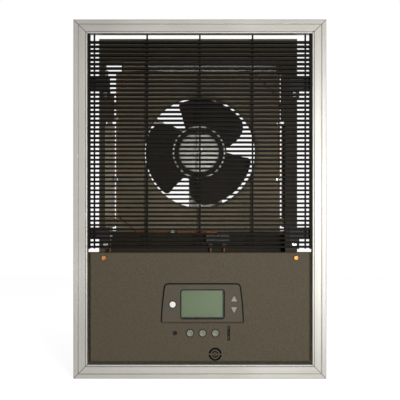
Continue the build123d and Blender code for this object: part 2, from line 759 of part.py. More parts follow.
def make_buttons():
    wall_back = BEZEL_FRONT + BEZEL_WALL
    foot = BOARD_Y - SWITCH_H - TRAVEL - FIT
    mode_z = PANEL_TOP - MODE_DROP
    save("mode_button", round_key(MODE_X, mode_z, MODE_R, BEZEL_FRONT - MODE_PROUD, wall_back, foot))
    for name, drop, upward in (("up_button", UP_DROP, True), ("down_button", DOWN_DROP, False)):
        key = push_button(arrow(drop, 0, upward), arrow(drop, COLLAR, upward),
                          BEZEL_FRONT - ARROW_PROUD, wall_back)
        key = fillet(key.edges().group_by(Axis.Y)[0], ARROW_ROUND)
        key += disc(ARROW_X, PANEL_TOP - drop, STEM_R, wall_back + FIT + COLLAR_T, foot)
        save(name, key)
    names = ("program_button_left", "program_button_middle", "program_button_right")
    for name, x in zip(names, ROW_XS):
        key = round_key(x, ROW_Z, ROW_R, PANEL_Y - ROW_PROUD, PANEL_BACK, foot)
        key -= Pos(x, PANEL_Y - ROW_PROUD - ROW_DISH_R + ROW_DISH, ROW_Z) * Sphere(ROW_DISH_R)
        save(name, key)
    reset = push_button(Pos(RESET_X, ROW_Z) * Circle(RESET_R), Pos(RESET_X, ROW_Z) * Circle(RESET_R + COLLAR),
                        PANEL_Y + RESET_SUNK, PANEL_BACK)
    reset += disc(RESET_X, ROW_Z, STEM_R, PANEL_BACK + FIT + COLLAR_T, foot)
    save("reset_button", reset)
    y0 = PANEL_BACK + FIT
    lever = block(LEVER_X - LEVER_W / 2, LEVER_X + LEVER_W / 2, PANEL_Y + LEVER_SUNK, y0,
                  ROW_Z - LEVER_L / 2, ROW_Z + LEVER_L / 2)
    lever += block(LEVER_X - CARRIAGE_W / 2, LEVER_X + CARRIAGE_W / 2, y0, y0 + CARRIAGE_T,
                   ROW_Z - CARRIAGE_L / 2, ROW_Z + CARRIAGE_L / 2)
    save("range_lever", lever)


def make_control_board():
    top = PANEL_TOP - BOARD_TOP_DROP
    bottom = top - BOARD_H
    left = BEZEL_X - BOARD_SIDE
    right = BEZEL_X + BOARD_SIDE
    save("thermostat_board", block(left, right, BOARD_Y, BOARD_BACK, bottom, top))
    case = block(left, right, BOARD_BACK, BOARD_BACK + CASE_DEPTH, bottom, top)
    case = fillet(case.edges().filter_by(Axis.Y), CASE_CORNER)
    case = fillet(case.edges().group_by(Axis.Y)[-1], CASE_ROUND)
    case_back = BOARD_BACK + CASE_DEPTH
    case -= block(left + CASE_WALL, right - CASE_WALL, BOARD_BACK, case_back - CASE_WALL,
                  bottom + CASE_WALL, top - CASE_WALL)
    for index in range(CASE_VENTS):
        x = BEZEL_X + CASE_VENT_PITCH * (index - (CASE_VENTS - 1) / 2)
        for z in (top - CASE_VENT_L, bottom + CASE_VENT_L):
            slot = Pos(x, z) * SlotOverall(CASE_VENT_L, CASE_VENT_W, rotation=90)
            case -= plate(slot, case_back - CASE_WALL, case_back)
    save("thermostat_case", case)
    switches = []
    spots = [(MODE_X, PANEL_TOP - MODE_DROP), (ARROW_X, PANEL_TOP - UP_DROP),
             (ARROW_X, PANEL_TOP - DOWN_DROP)]
    spots += [(x, ROW_Z) for x in ROW_XS + (RESET_X,)]
    half = SWITCH_W / 2
    for x, z in spots:
        switches.append(block(x - half, x + half, BOARD_Y - SWITCH_H, BOARD_Y, z - half, z + half))
    rail_y = PANEL_BACK + FIT + CARRIAGE_T + FIT
    rail = block(LEVER_X - half, LEVER_X + half, rail_y, BOARD_Y, ROW_Z - LEVER_SLOT_L / 2,
                 ROW_Z + LEVER_SLOT_L / 2)
    save("key_switches", *switches, rail)


# Chassis

def chassis_side(outer, direction, flange, wide, wide_top):
    """Folded side: a front flange that widens above the fins, a web, and a rear flange outward."""
    inner = outer + direction * CHASSIS_SHEET
    side = block(outer, inner, CHASSIS_SHEET, CHASSIS_DEPTH, CHASSIS_BOTTOM, CHASSIS_TOP - CHASSIS_SHEET)
    side += block(outer, outer + direction * flange, 0, CHASSIS_SHEET, CHASSIS_BOTTOM, HOOD_BOTTOM)
    side += block(outer, outer + direction * wide, 0, CHASSIS_SHEET, FIN_TOP, wide_top)
    side += block(inner, outer - direction * REAR_FLANGE, CHASSIS_DEPTH - CHASSIS_SHEET, CHASSIS_DEPTH,
                  CHASSIS_BOTTOM, CHASSIS_TOP - CHASSIS_SHEET)
    for level in (-1, 1):
        z = level * BRACKET_RISE - CHASSIS_SCREW_DROP
        ear_x = -direction * CHASSIS_SCREW_X
        reach = ear_x + direction * EAR_W / 2
        side += block(outer, reach, 0, CHASSIS_SHEET, z - EAR_W / 2, z + EAR_W / 2)
        side -= disc(ear_x, z, CHASSIS_SCREW_R + CLIP_GAP, 0, CHASSIS_SHEET)
    post_x = -direction * PANEL_SCREW_X
    post_z = PANEL_TOP - PANEL_SCREW_DROP
    side += block(outer, post_x + direction * EAR_W / 2, 0, CHASSIS_SHEET, post_z - EAR_W / 2,
                  post_z + EAR_W / 2)
    side -= disc(post_x, post_z, PANEL_SCREW_R + FIT, 0, CHASSIS_SHEET)
    return side


def make_chassis():
    left_top = HOOD_BOTTOM - LEFT_WIDE_DROP
    left = chassis_side(CHASSIS_LEFT, 1, LEFT_FLANGE, LEFT_WIDE_FLANGE, left_top)
    right = chassis_side(CHASSIS_RIGHT, -1, RIGHT_FLANGE, RIGHT_WIDE_FLANGE, HOOD_BOTTOM)
    save("chassis_side_left", left)
    save("chassis_side_right", right)
    hood = block(CHASSIS_LEFT, CHASSIS_RIGHT, 0, CHASSIS_SHEET, HOOD_BOTTOM, CHASSIS_TOP)
    hood += block(CHASSIS_LEFT, CHASSIS_RIGHT, 0, CHASSIS_DEPTH, CHASSIS_TOP - CHASSIS_SHEET, CHASSIS_TOP)
    hood += block(WEB_LEFT, WEB_RIGHT, 0, HOOD_LIP, HOOD_BOTTOM, HOOD_BOTTOM + CHASSIS_SHEET)
    save("chassis_hood", hood)


def make_brackets():
    brackets = []
    fixings = []
    screws = []
    for side in (-1, 1):
        for level in (-1, 1):
            z = level * BRACKET_RISE
            low = z - BRACKET_H / 2
            screw_x = side * CHASSIS_SCREW_X
            screw_z = z - CHASSIS_SCREW_DROP
            arm = block(side * BRACKET_INNER, side * BRACKET_OUTER, -BRACKET_T, 0, low, z + BRACKET_H / 2)
            arm += block(side * BRACKET_INNER, side * (BRACKET_INNER + BRACKET_TAB), -BRACKET_T, 0,
                         screw_z - BRACKET_TAB / 2, low)
            arm -= disc(screw_x, screw_z, CHASSIS_SCREW_R + CLIP_GAP, -BRACKET_T, 0)
            arm -= disc(side * FIXING_X, z, FIXING_R + CLIP_GAP, -BRACKET_T, 0)
            brackets.append(arm)
            fixings.append(pan_screw(side * FIXING_X, z, FIXING_HEAD_R, FIXING_R, -BRACKET_T, FIXING_L,
                                     FIXING_HEAD_T, BRACKET_T))
            screws.append(pan_screw(screw_x, screw_z, CHASSIS_SCREW_HEAD_R, CHASSIS_SCREW_R, -BRACKET_T,
                                    CHASSIS_SCREW_L, CHASSIS_SCREW_HEAD_T))
    save("mounting_brackets", *brackets)
    save("fixing_screws", *fixings)
    save("chassis_screws", *screws)


def make_deck():
    y1 = DECK_Y + CHASSIS_SHEET
    shell = block(DECK_LEFT, DECK_RIGHT, DECK_Y, DECK_Y + DECK_RETURN, DECK_BOTTOM, DECK_TOP)
    shell = fillet(shell.edges().group_by(Axis.Y)[0], DECK_BEND)
    shell -= block(DECK_LEFT + CHASSIS_SHEET, DECK_RIGHT - CHASSIS_SHEET, y1, DECK_Y + DECK_RETURN,
                   DECK_BOTTOM + CHASSIS_SHEET, DECK_TOP - CHASSIS_SHEET)
    shell -= disc(ORIFICE_X, ORIFICE_Z, ORIFICE_R + LIP_R, DECK_Y, y1)
    sheet = CHASSIS_SHEET
    lip = [Line((ORIFICE_R + LIP_R, 0), (ORIFICE_R + LIP_R, sheet)),
           RadiusArc((ORIFICE_R + LIP_R, sheet), (ORIFICE_R + sheet, LIP_R), LIP_R - sheet),
           Line((ORIFICE_R + sheet, LIP_R), (ORIFICE_R + sheet, LIP_L)),
           Line((ORIFICE_R + sheet, LIP_L), (ORIFICE_R, LIP_L)),
           Line((ORIFICE_R, LIP_L), (ORIFICE_R, LIP_R)),
           RadiusArc((ORIFICE_R, LIP_R), (ORIFICE_R + LIP_R, 0), -LIP_R)]
    mouth = Plane(origin=(0, 0, 0), x_dir=(1, 0, 0), z_dir=(0, 0, 1)) * make_face(lip)
    mouth = revolve(mouth, Axis.Y, 360)
    shell += Pos(ORIFICE_X, DECK_Y, ORIFICE_Z) * mouth
    screws = []
    for z in (DECK_TOP - DECK_TAB_DROP, DECK_BOTTOM + DECK_TAB_RISE):
        for edge, web, direction in ((DECK_LEFT, WEB_LEFT, -1), (DECK_RIGHT, WEB_RIGHT, 1)):
            shell += block(edge - direction * DECK_TAB_LAP, web, DECK_Y, y1, z, z + DECK_TAB_H)
            shell += block(web - direction * sheet, web, DECK_Y, DECK_Y + DECK_TAB_H, z, z + DECK_TAB_H)
            head = Plane(origin=(web + direction * sheet, DECK_Y + DECK_TAB_H / 2, z + DECK_TAB_H / 2),
                         z_dir=(direction, 0, 0))
            screw = extrude(head * Circle(DECK_SCREW_HEAD_R), DECK_SCREW_HEAD_T)
            screws.append(fillet(screw.edges().sort_by(Axis.X)[-1 if direction > 0 else 0], DECK_HEAD_ROUND))
    hanger = block(HANGER_LEFT, HANGER_LEFT + HANGER_W, DECK_Y, y1, DECK_TOP - DECK_TAB_LAP, HOOD_BOTTOM)
    hanger += block(HANGER_LEFT, HANGER_LEFT + HANGER_W, HOOD_LIP, y1, HOOD_BOTTOM - sheet, HOOD_BOTTOM)
    hanger += block(HANGER_LEFT, HANGER_LEFT + HANGER_W, sheet, HOOD_LIP, HOOD_BOTTOM - sheet,
                    HOOD_BOTTOM)
    shell += hanger
    save("fan_deck", shell)
    return screws


def make_baffle():
    y1 = BAFFLE_Y + CHASSIS_SHEET
    top = CHASSIS_TOP - CHASSIS_SHEET
    points = [(WEB_LEFT, top), (WEB_RIGHT, top), (WEB_RIGHT, BAFFLE_NOTCH_Z), (BAFFLE_RIGHT, BAFFLE_NOTCH_Z),
              (BAFFLE_RIGHT, BAFFLE_BOTTOM), (BAFFLE_LEFT, BAFFLE_BOTTOM), (BAFFLE_LEFT, BAFFLE_NOTCH_Z),
              (WEB_LEFT, BAFFLE_NOTCH_Z)]
    sheet = plate(make_face(Polyline(*points, close=True)), BAFFLE_Y, y1)
    sheet += block(BAFFLE_LEFT, BAFFLE_RIGHT, BAFFLE_Y, BAFFLE_Y + BAFFLE_LIP, BAFFLE_BOTTOM,
                   BAFFLE_BOTTOM + CHASSIS_SHEET)
    save("top_baffle", sheet)


def make_tray():
    sheet = CHASSIS_SHEET
    tray = block(WEB_LEFT, WEB_RIGHT, TRAY_Y, TRAY_BACK, CHASSIS_BOTTOM, TRAY_TOP)
    tray += block(WEB_LEFT, WEB_RIGHT, DECK_Y, TRAY_BACK, TRAY_TOP - sheet, TRAY_TOP)
    tray += block(WEB_LEFT, WEB_RIGHT, sheet, TRAY_BACK, CHASSIS_BOTTOM, CHASSIS_BOTTOM + sheet)
    tray += block(WEB_LEFT, WEB_LEFT + sheet, TRAY_Y - TRAY_SIDE, TRAY_BACK, CHASSIS_BOTTOM, TRAY_TOP)
    tray += block(WEB_RIGHT - sheet, WEB_RIGHT, TRAY_Y - TRAY_SIDE, TRAY_BACK, CHASSIS_BOTTOM, TRAY_TOP)
    for x in (ELEMENT_LEFT, ELEMENT_RIGHT):
        hole = Pos(x, ELEMENT_Y, TRAY_TOP - sheet / 2) * Cylinder(SHEATH_R + FIT, sheet)
        tray -= hole
    tray -= disc(GROUND_X, PANEL_TOP - GROUND_DROP, GROUND_R + CLIP_GAP, TRAY_Y, TRAY_BACK)
    for side in (-1, 1):
        tray -= ring(side * KNOCKOUT_X, PANEL_TOP - KNOCKOUT_DROP, KNOCKOUT_R, KNOCKOUT_R - KNOCKOUT_SCORE,
                     TRAY_BACK - sheet / 2, TRAY_BACK)
    save("wiring_tray", tray)


# Fan

def polar(radius, angle):
    """A point on a circle round the fan's axis, its angle in degrees."""
    turn = math.radians(angle)
    return (radius * math.cos(turn), radius * math.sin(turn))


def blade_sheet(first, last):
    """The blade's twisted surface: flat at the root, pitched and cambered towards the tip."""
    steps = 10
    rows = []
    for index in range(steps + 1):
        u = 2 * index / steps - 1
        lift = BLADE_LIFT * u + BLADE_CAMBER * (u * u - 1 / 3)
        row = []
        for share in (0.0, 0.25, 0.5, 0.75, 1.05):
            radius = BLADE_ROOT_R + (FAN_R - BLADE_ROOT_R) * share
            x, z = polar(radius, first + (last - first) * index / steps)
            row.append(Vector(x, FAN_Y + lift * share, z))
        rows.append(row)
    return thicken(Face.make_surface_from_array_of_points(rows), BLADE_T)


def blade(angle):
    """One wide blade, its leading edge swept back, trimmed to its outline as seen from the front."""
    pitch = 360 / BLADE_COUNT
    lead = []
    trail = []
    for share, front, rear in zip(BLADE_STATIONS, BLADE_LEAD_SWEEP, BLADE_TRAIL_SWEEP):
        radius = BLADE_ROOT_R + (FAN_R - BLADE_ROOT_R) * share
        lead.append(polar(radius, front))
        trail.append(polar(radius, pitch + rear))
    middle = (BLADE_LEAD_SWEEP[-1] + pitch + BLADE_TRAIL_SWEEP[-1]) / 2
    tip = ThreePointArc(lead[-1], polar(FAN_R, middle), trail[-1])
    root = Line(trail[0], lead[0])
    outline = make_face([Spline(*lead), tip, Spline(*trail[::-1]), root])
    tips = outline.vertices().sort_by(lambda v: v.X ** 2 + v.Y ** 2)[-2:]
    outline = fillet(tips, BLADE_CORNER)
    reach = BLADE_LIFT + BLADE_CAMBER + BLADE_T
    prism = plate(outline, FAN_Y - reach, FAN_Y + reach)
    margin = BLADE_LEAD_SWEEP[0]
    piece = prism & blade_sheet(-margin, pitch + margin)
    return Pos(FAN_X, 0, FAN_Z) * Rot(0, -angle, 0) * piece


def make_fan():
    step = 360 / BLADE_COUNT
    spider = ring(FAN_X, FAN_Z, SPIDER_R, SHAFT_R + SPIDER_BORE, FAN_Y - BLADE_T / 2, FAN_Y + BLADE_T)
    bead = Pos(FAN_X, FAN_Y - BLADE_T / 2, FAN_Z) * Rot(90, 0, 0) * Torus(SPIDER_BEAD_R, SPIDER_BEAD)
    spider += bead
    for index in range(BLADE_COUNT):
        spider += blade(BLADE_START + step * index)
    front = FAN_Y - BLADE_T / 2
    rivets = []
    for index in range(RIVET_COUNT):
        dx, dz = polar(RIVET_ORBIT, BLADE_START + 360 * (index + 0.5) / RIVET_COUNT)
        x = FAN_X + dx
        z = FAN_Z + dz
        spider -= disc(x, z, RIVET_R, front, FAN_Y + BLADE_T)
        rivets.append((x, z))
    save("fan_blades", spider)
    hub = disc(FAN_X, FAN_Z, HUB_R, front - HUB_DISH, front)
    hub = fillet(hub.edges().group_by(Axis.Y)[0], HUB_DISH * 0.8)
    hub += disc(FAN_X, FAN_Z, HUB_BOSS_R, front - HUB_DISH - HUB_BOSS_RISE, front)
    for x, z in rivets:
        hub += disc(x, z, RIVET_R - CLIP_GAP, front, FAN_Y + BLADE_T)
    hub += ring(FAN_X, FAN_Z, SHAFT_R + SPIDER_BORE - CLIP_GAP, SHAFT_R + CLIP_GAP, front,
                FAN_Y + BLADE_T + HUB_NECK_L)
    hub -= disc(FAN_X, FAN_Z, SHAFT_R + CLIP_GAP, front - HUB_DISH - HUB_BOSS_RISE, front)
    save("fan_hub", hub)
    hexagon = Pos(*FAN_AXIS) * (RegularPolygon(NUT_R, 6, major_radius=False) - Circle(SHAFT_R + CLIP_GAP))
    save("hub_nut", plate(hexagon, NUT_Y - NUT_T, NUT_Y))


# Motor

def strap_screw(x, z, deck_back):
    """Short screw through a foot of the strap, its head on the rear."""
    head_y = deck_back + STRAP_T
    screw = disc(x, z, STRAP_SCREW_R, deck_back, head_y)
    head = disc(x, z, STRAP_SCREW_HEAD_R, head_y, head_y + STRAP_SCREW_HEAD_T)
    return screw + fillet(head.edges().group_by(Axis.Y)[-1], STRAP_SCREW_HEAD_T * 0.4)


def make_strap():
    x0 = FAN_X + STRAP_SHIFT - STRAP_W / 2
    x1 = FAN_X + STRAP_SHIFT + STRAP_W / 2
    deck_back = DECK_Y + CHASSIS_SHEET
    y1 = STRAP_Y + STRAP_T
    reach = STRAP_REACH
    strap = block(x0, x1, STRAP_Y, y1, FAN_Z - reach, FAN_Z + reach)
    screws = []
    for level in (-1, 1):
        edge = FAN_Z + level * reach
        strap += block(x0, x1, deck_back, y1, edge - level * STRAP_T, edge)
        strap += block(x0, x1, deck_back, deck_back + STRAP_T, edge - level * STRAP_T,
                       edge + level * STRAP_FOOT)
        for x in (x0 + STRAP_SCREW_IN, x1 - STRAP_SCREW_IN):
            z = edge + level * STRAP_FOOT / 2
            strap -= disc(x, z, STRAP_SCREW_R + CLIP_GAP, deck_back, deck_back + STRAP_T)
            screws.append(strap_screw(x, z, deck_back))
    turn = Pos(FAN_X, 0, FAN_Z) * Rot(0, -STAY_ANGLE, 0)
    stay = block(STAY_START, reach, STRAP_Y, y1, -STAY_W / 2, STAY_W / 2)
    stay += block(reach - STRAP_T, reach, deck_back, y1, -STAY_W / 2, STAY_W / 2)
    stay += block(reach - STRAP_T, reach + STRAP_FOOT, deck_back, deck_back + STRAP_T, -STAY_W / 2,
                  STAY_W / 2)
    strap += turn * stay
    dx, dz = polar(reach + STRAP_FOOT / 2, STAY_ANGLE)
    strap -= disc(FAN_X + dx, FAN_Z + dz, STRAP_SCREW_R + CLIP_GAP, deck_back, deck_back + STRAP_T)
    screws.append(strap_screw(FAN_X + dx, FAN_Z + dz, deck_back))
    strap -= disc(FAN_X, FAN_Z, STRAP_HOLE_R, STRAP_Y, y1)
    for level in (-1, 1):
        z = FAN_Z + level * MOTOR_SCREW_ORBIT
        strap -= disc(FAN_X, z, MOTOR_SCREW_R + CLIP_GAP, STRAP_Y, y1)
    save("motor_strap", strap)
    return screws


def bell(y_face, direction, hole_for_shaft):
    """End bell: a cup whose floor carries a bearing."""
    y_open = y_face + direction * BELL_L
    low, high = sorted((y_face, y_open))
    cup = disc(FAN_X, FAN_Z, MOTOR_R, low, high)
    end = 0 if direction > 0 else -1
    cup = fillet(cup.edges().group_by(Axis.Y)[end], BELL_ROUND)
    floor = y_face + direction * BELL_WALL
    low, high = sorted((floor, y_open))
    cup -= disc(FAN_X, FAN_Z, MOTOR_R - BELL_WALL, low, high)
    seat_end = y_face + direction * (BELL_WALL + BEARING_L)
    low, high = sorted((floor, seat_end))
    cup += ring(FAN_X, FAN_Z, BEARING_R + BEARING_SEAT, BEARING_R + BEARING_FIT, low, high)
    if hole_for_shaft:
        low, high = sorted((y_face, floor))
        cup -= disc(FAN_X, FAN_Z, SHAFT_R + 1, low, high)
    low, high = sorted((y_face, floor))
    for index in range(BELL_VENTS):
        angle = 360 * (index + 0.5) / BELL_VENTS
        dx, dz = polar(BELL_VENT_R, angle)
        slot = Pos(FAN_X + dx, FAN_Z + dz) * Rot(0, 0, angle) * SlotOverall(BELL_VENT_L, BELL_VENT_W)
        cup -= plate(slot, low, high)
    return cup


def make_motor():
    front = bell(MOTOR_Y, 1, True)
    rear = bell(MOTOR_END, -1, False)
    bolts = []
    for level in (-1, 1):
        z = FAN_Z + level * MOTOR_SCREW_ORBIT
        front -= disc(FAN_X, z, MOTOR_SCREW_R + CLIP_GAP, MOTOR_Y, MOTOR_Y + BELL_WALL)
        bolts.append(pan_screw(FAN_X, z, MOTOR_SCREW_HEAD_R, MOTOR_SCREW_R, STRAP_Y,
                               STRAP_T + BELL_WALL + MOTOR_SCREW_GRIP, MOTOR_SCREW_HEAD_T))
    save("motor_front_bell", front)
    save("motor_rear_bell", rear)
    core = ring(FAN_X, FAN_Z, MOTOR_R, ROTOR_R + AIR_GAP, CORE_Y, REAR_BELL_Y)
    slots = []
    reach = (ROTOR_R + SLOT_ROOT_R) / 2 + SLOT_EDGE
    width = SLOT_ROOT_R - ROTOR_R - 2 * SLOT_EDGE
    for index in range(CORE_BORE_POLES):
        angle = 360 * (index + 0.5) / CORE_BORE_POLES
        dx, dz = polar(reach, angle)
        spot = Pos(FAN_X + dx, FAN_Z + dz) * Rot(0, 0, angle)
        core -= plate(spot * RectangleRounded(width, SLOT_W, SLOT_EDGE), CORE_Y, REAR_BELL_Y)
        winding = RectangleRounded(width - 2 * WINDING_FIT, SLOT_W - 2 * WINDING_FIT, SLOT_EDGE - WINDING_FIT)
        slots.append(plate(spot * winding, CORE_Y - WINDING_PROUD, REAR_BELL_Y + WINDING_PROUD))
    save("stator_core", core)
    save("stator_windings", *slots)
    bore = SHAFT_R + SHAFT_RUN
    front_bearing = ring(FAN_X, FAN_Z, BEARING_R, bore, MOTOR_Y + BELL_WALL, MOTOR_Y + BELL_WALL + BEARING_L)
    rear_seat = MOTOR_END - BELL_WALL
    rear_bearing = ring(FAN_X, FAN_Z, BEARING_R, bore, rear_seat - BEARING_L, rear_seat)
    save("motor_bearings", front_bearing, rear_bearing)
    rotor = ring(FAN_X, FAN_Z, ROTOR_R, SHAFT_R, CORE_Y, REAR_BELL_Y)
    save("motor_rotor", rotor)
    shaft = disc(FAN_X, FAN_Z, SHAFT_R, NUT_Y - NUT_T - SHAFT_SHOWN, MOTOR_END - BELL_WALL - SHAFT_TAIL)
    shaft = chamfer(shaft.edges().group_by(Axis.Y)[0], SHAFT_CHAMFER)
    save("motor_shaft", shaft)
    return bolts


# Heating elements

def heating_element(x, web, direction):
    """Strip element: flat in front and finned behind beside the deck, jogged to the side above."""
    top_x = x + direction * SHEATH_JOG
    points = [(x, ELEMENT_Y, SHEATH_BOTTOM), (x, ELEMENT_Y, SHEATH_JOG_Z),
              (top_x, ELEMENT_Y, SHEATH_JOG_Z + SHEATH_JOG_L), (top_x, ELEMENT_Y, SHEATH_TOP)]
    piece = tube(points, (SHEATH_BEND_R, SHEATH_BEND_R), SHEATH_R)
    half = FIN_W / 2
    strip_back = ELEMENT_Y - half + STRIP_T
    strip = block(x - half, x + half, ELEMENT_Y - half, strip_back, FIN_BOTTOM, FIN_TOP)
    piece += fillet(strip.edges().group_by(Axis.Y)[0], STRIP_ROUND)
    count = int((FIN_TOP - FIN_BOTTOM) / FIN_PITCH)
    for index in range(count):
        z = FIN_BOTTOM + FIN_PITCH * (index + 0.5)
        fin = block(x - half, x + half, strip_back, ELEMENT_Y + half, z, z + FIN_T)
        rear = fin.edges().filter_by(Axis.Z).group_by(Axis.Y)[-1]
        piece += chamfer(rear, half * 0.5)
    for px, pz, level in ((x, SHEATH_BOTTOM, -1), (top_x, SHEATH_TOP, 1)):
        piece += Pos(px, ELEMENT_Y, pz + level * PIN_L / 2) * Cylinder(PIN_R, PIN_L)
    clip_z = SHEATH_TOP - CLIP_W - CLIP_DROP
    outer = SHEATH_R + CLIP_GAP + CLIP_T
    collar = Pos(top_x, ELEMENT_Y, clip_z) * Cylinder(outer, CLIP_W)
    foot = block(web, web - direction * CLIP_T, ELEMENT_Y - CLIP_REACH, ELEMENT_Y + CLIP_REACH,
                 clip_z - CLIP_W / 2, clip_z + CLIP_W / 2)
    clip = collar + foot
    clip -= Pos(top_x, ELEMENT_Y, clip_z) * Cylinder(SHEATH_R + CLIP_GAP, CLIP_W)
    limits = sorted((web, web - direction * ELEMENT_FROM_SIDE * 2))
    clip &= block(limits[0], limits[1], 0, CHASSIS_DEPTH, clip_z - CLIP_W, clip_z + CLIP_W)
    return piece, clip


def make_elements():
    left, left_clip = heating_element(ELEMENT_LEFT, WEB_LEFT, -1)
    right, right_clip = heating_element(ELEMENT_RIGHT, WEB_RIGHT, 1)
    save("element_left", left)
    save("element_right", right)
    save("element_clips", left_clip, right_clip)


# Linear limit with its copper capillary

def make_limit():
    y = DECK_Y - FIT - CAPILLARY_R
    switch_top = TRAY_TOP - CHASSIS_SHEET
    switch = block(LIMIT_X - LIMIT_W / 2, LIMIT_X + LIMIT_W / 2, LIMIT_Y0, LIMIT_Y0 + LIMIT_D,
                   switch_top - LIMIT_H, switch_top)
    switch = fillet(switch.edges().filter_by(Axis.Y), LIMIT_CORNER)
    start_y = LIMIT_Y0 - LIMIT_NECK_L
    start_z = switch_top - LIMIT_H / 2
    switch += disc(LIMIT_X, start_z, LIMIT_NECK_R, start_y, LIMIT_Y0)
    tab_y = LIMIT_Y0 + LIMIT_TAB_Y
    for dx in (-LIMIT_TAB_X, LIMIT_TAB_X):
        switch += block(LIMIT_X + dx - TAB_W / 2, LIMIT_X + dx + TAB_W / 2, tab_y, tab_y + TAB_T,
                        switch_top - LIMIT_H - TAB_L, switch_top - LIMIT_H)
    save("limit_switch", switch)
    bottom_z = TRAY_TOP - CAPILLARY_BELOW
    top_z = DECK_TOP + FIT + CAPILLARY_R
    left = DECK_LEFT + CAPILLARY_IN_LEFT
    right = DECK_RIGHT - CAPILLARY_IN_RIGHT
    behind = DECK_Y + CAPILLARY_SINK
    low_run, low_rise = CAPILLARY_LOW_CORNER
    left_run, left_drop = CAPILLARY_LEFT_CORNER
    dive = HANGER_LEFT + HANGER_W + CAPILLARY_HANGER_GAP
    turn = right - CAPILLARY_RIGHT_CORNER
    points = [(LIMIT_X, start_y, start_z), (LIMIT_X, y, start_z), (LIMIT_X, y, bottom_z),
              (left + low_run, y, bottom_z), (left, y, bottom_z + low_rise), (left, y, DECK_TOP - left_drop),
              (left + left_run, y, top_z), (dive, y, top_z), (dive + CAPILLARY_DIVE, behind, top_z),
              (turn - CAPILLARY_RISE_IN, behind, top_z), (turn, y, top_z),
              (right, y, top_z - CAPILLARY_RIGHT_CORNER), (right, y, ORIFICE_Z - CAPILLARY_END)]
    save("limit_capillary", tube(points, CAPILLARY_BENDS, CAPILLARY_R))
    clips = [capillary_clip(-SADDLE_LOW_X, y, bottom_z, False)]
    for side, rise in SADDLE_SPOTS:
        clips.append(capillary_clip(left if side < 0 else right, y, ORIFICE_Z + rise, True))
    save("capillary_clips", *clips)


def capillary_clip(x, y, z, upright):
    """Saddle clip pressed from strip, its feet flat on the deck."""
    wide = CAPILLARY_R + CLIP_GAP
    arch = wide + SADDLE_T
    profile = Circle(arch) + Pos(0, -arch / 2) * Rectangle(2 * arch, arch)
    profile -= Circle(wide) + Pos(0, -arch / 2) * Rectangle(2 * wide, arch)
    depth = DECK_Y - y
    clip = extrude(profile, SADDLE_W / 2, both=True)
    clip &= Pos(0, arch / 2 - depth / 2, 0) * Box(4 * arch, arch + depth, SADDLE_W)
    clip += Pos(-wide - SADDLE_FOOT / 2, SADDLE_T / 2 - depth, 0) * Box(SADDLE_FOOT, SADDLE_T, SADDLE_W)
    clip = Rot(180, 0, 0) * clip
    if not upright:
        clip = Rot(0, 90, 0) * clip
    return Pos(x, y, z) * clip


# Supply side

def make_controls():
    z = PANEL_TOP - BLOCK_DROP
    half = BLOCK_PITCH * BLOCK_POLES / 2
    front = TRAY_Y - BLOCK_D
    seat = front + BLOCK_CHANNEL_D
    base = block(BLOCK_X - half - BLOCK_END, BLOCK_X + half + BLOCK_END, front, TRAY_Y, z - BLOCK_H / 2,
                 z + BLOCK_H / 2)
    screws = []
    for index in range(BLOCK_POLES):
        x = BLOCK_X + BLOCK_PITCH * (index - (BLOCK_POLES - 1) / 2)
        base -= block(x - BLOCK_CHANNEL / 2, x + BLOCK_CHANNEL / 2, front, seat, z - BLOCK_H / 2,
                      z + BLOCK_H / 2)
        for level in (-1, 1):
            sz = z + level * BLOCK_H / 4
            top = seat - BLOCK_SCREW_T
            screw = disc(x, sz, BLOCK_SCREW_R, top, seat)
            screw -= block(x - BLOCK_SCREW_R, x + BLOCK_SCREW_R, top, top + BLOCK_SCREW_SLOT,
                           sz - BLOCK_SCREW_SLOT / 2, sz + BLOCK_SCREW_SLOT / 2)
            screws.append(screw)
    screws.append(pan_screw(GROUND_X, PANEL_TOP - GROUND_DROP, GROUND_HEAD_R, GROUND_R, TRAY_Y, GROUND_L,
                            GROUND_HEAD_T))
    save("terminal_block", base)
    save("terminal_screws", *screws)
    z = PANEL_TOP - RELAY_DROP
    relay = block(RELAY_X - RELAY_W / 2, RELAY_X + RELAY_W / 2, TRAY_Y - RELAY_D, TRAY_Y,
                  z - RELAY_H / 2, z + RELAY_H / 2)
    relay = fillet(relay.edges().group_by(Axis.Y)[0], RELAY_ROUND)
    tab_y = TRAY_Y - RELAY_D / 2
    for dx in RELAY_TABS:
        relay += block(RELAY_X + dx - RELAY_TAB_W / 2, RELAY_X + dx + RELAY_TAB_W / 2, tab_y, tab_y + TAB_T,
                       z + RELAY_H / 2, z + RELAY_H / 2 + TAB_L)
    save("power_relay", relay)


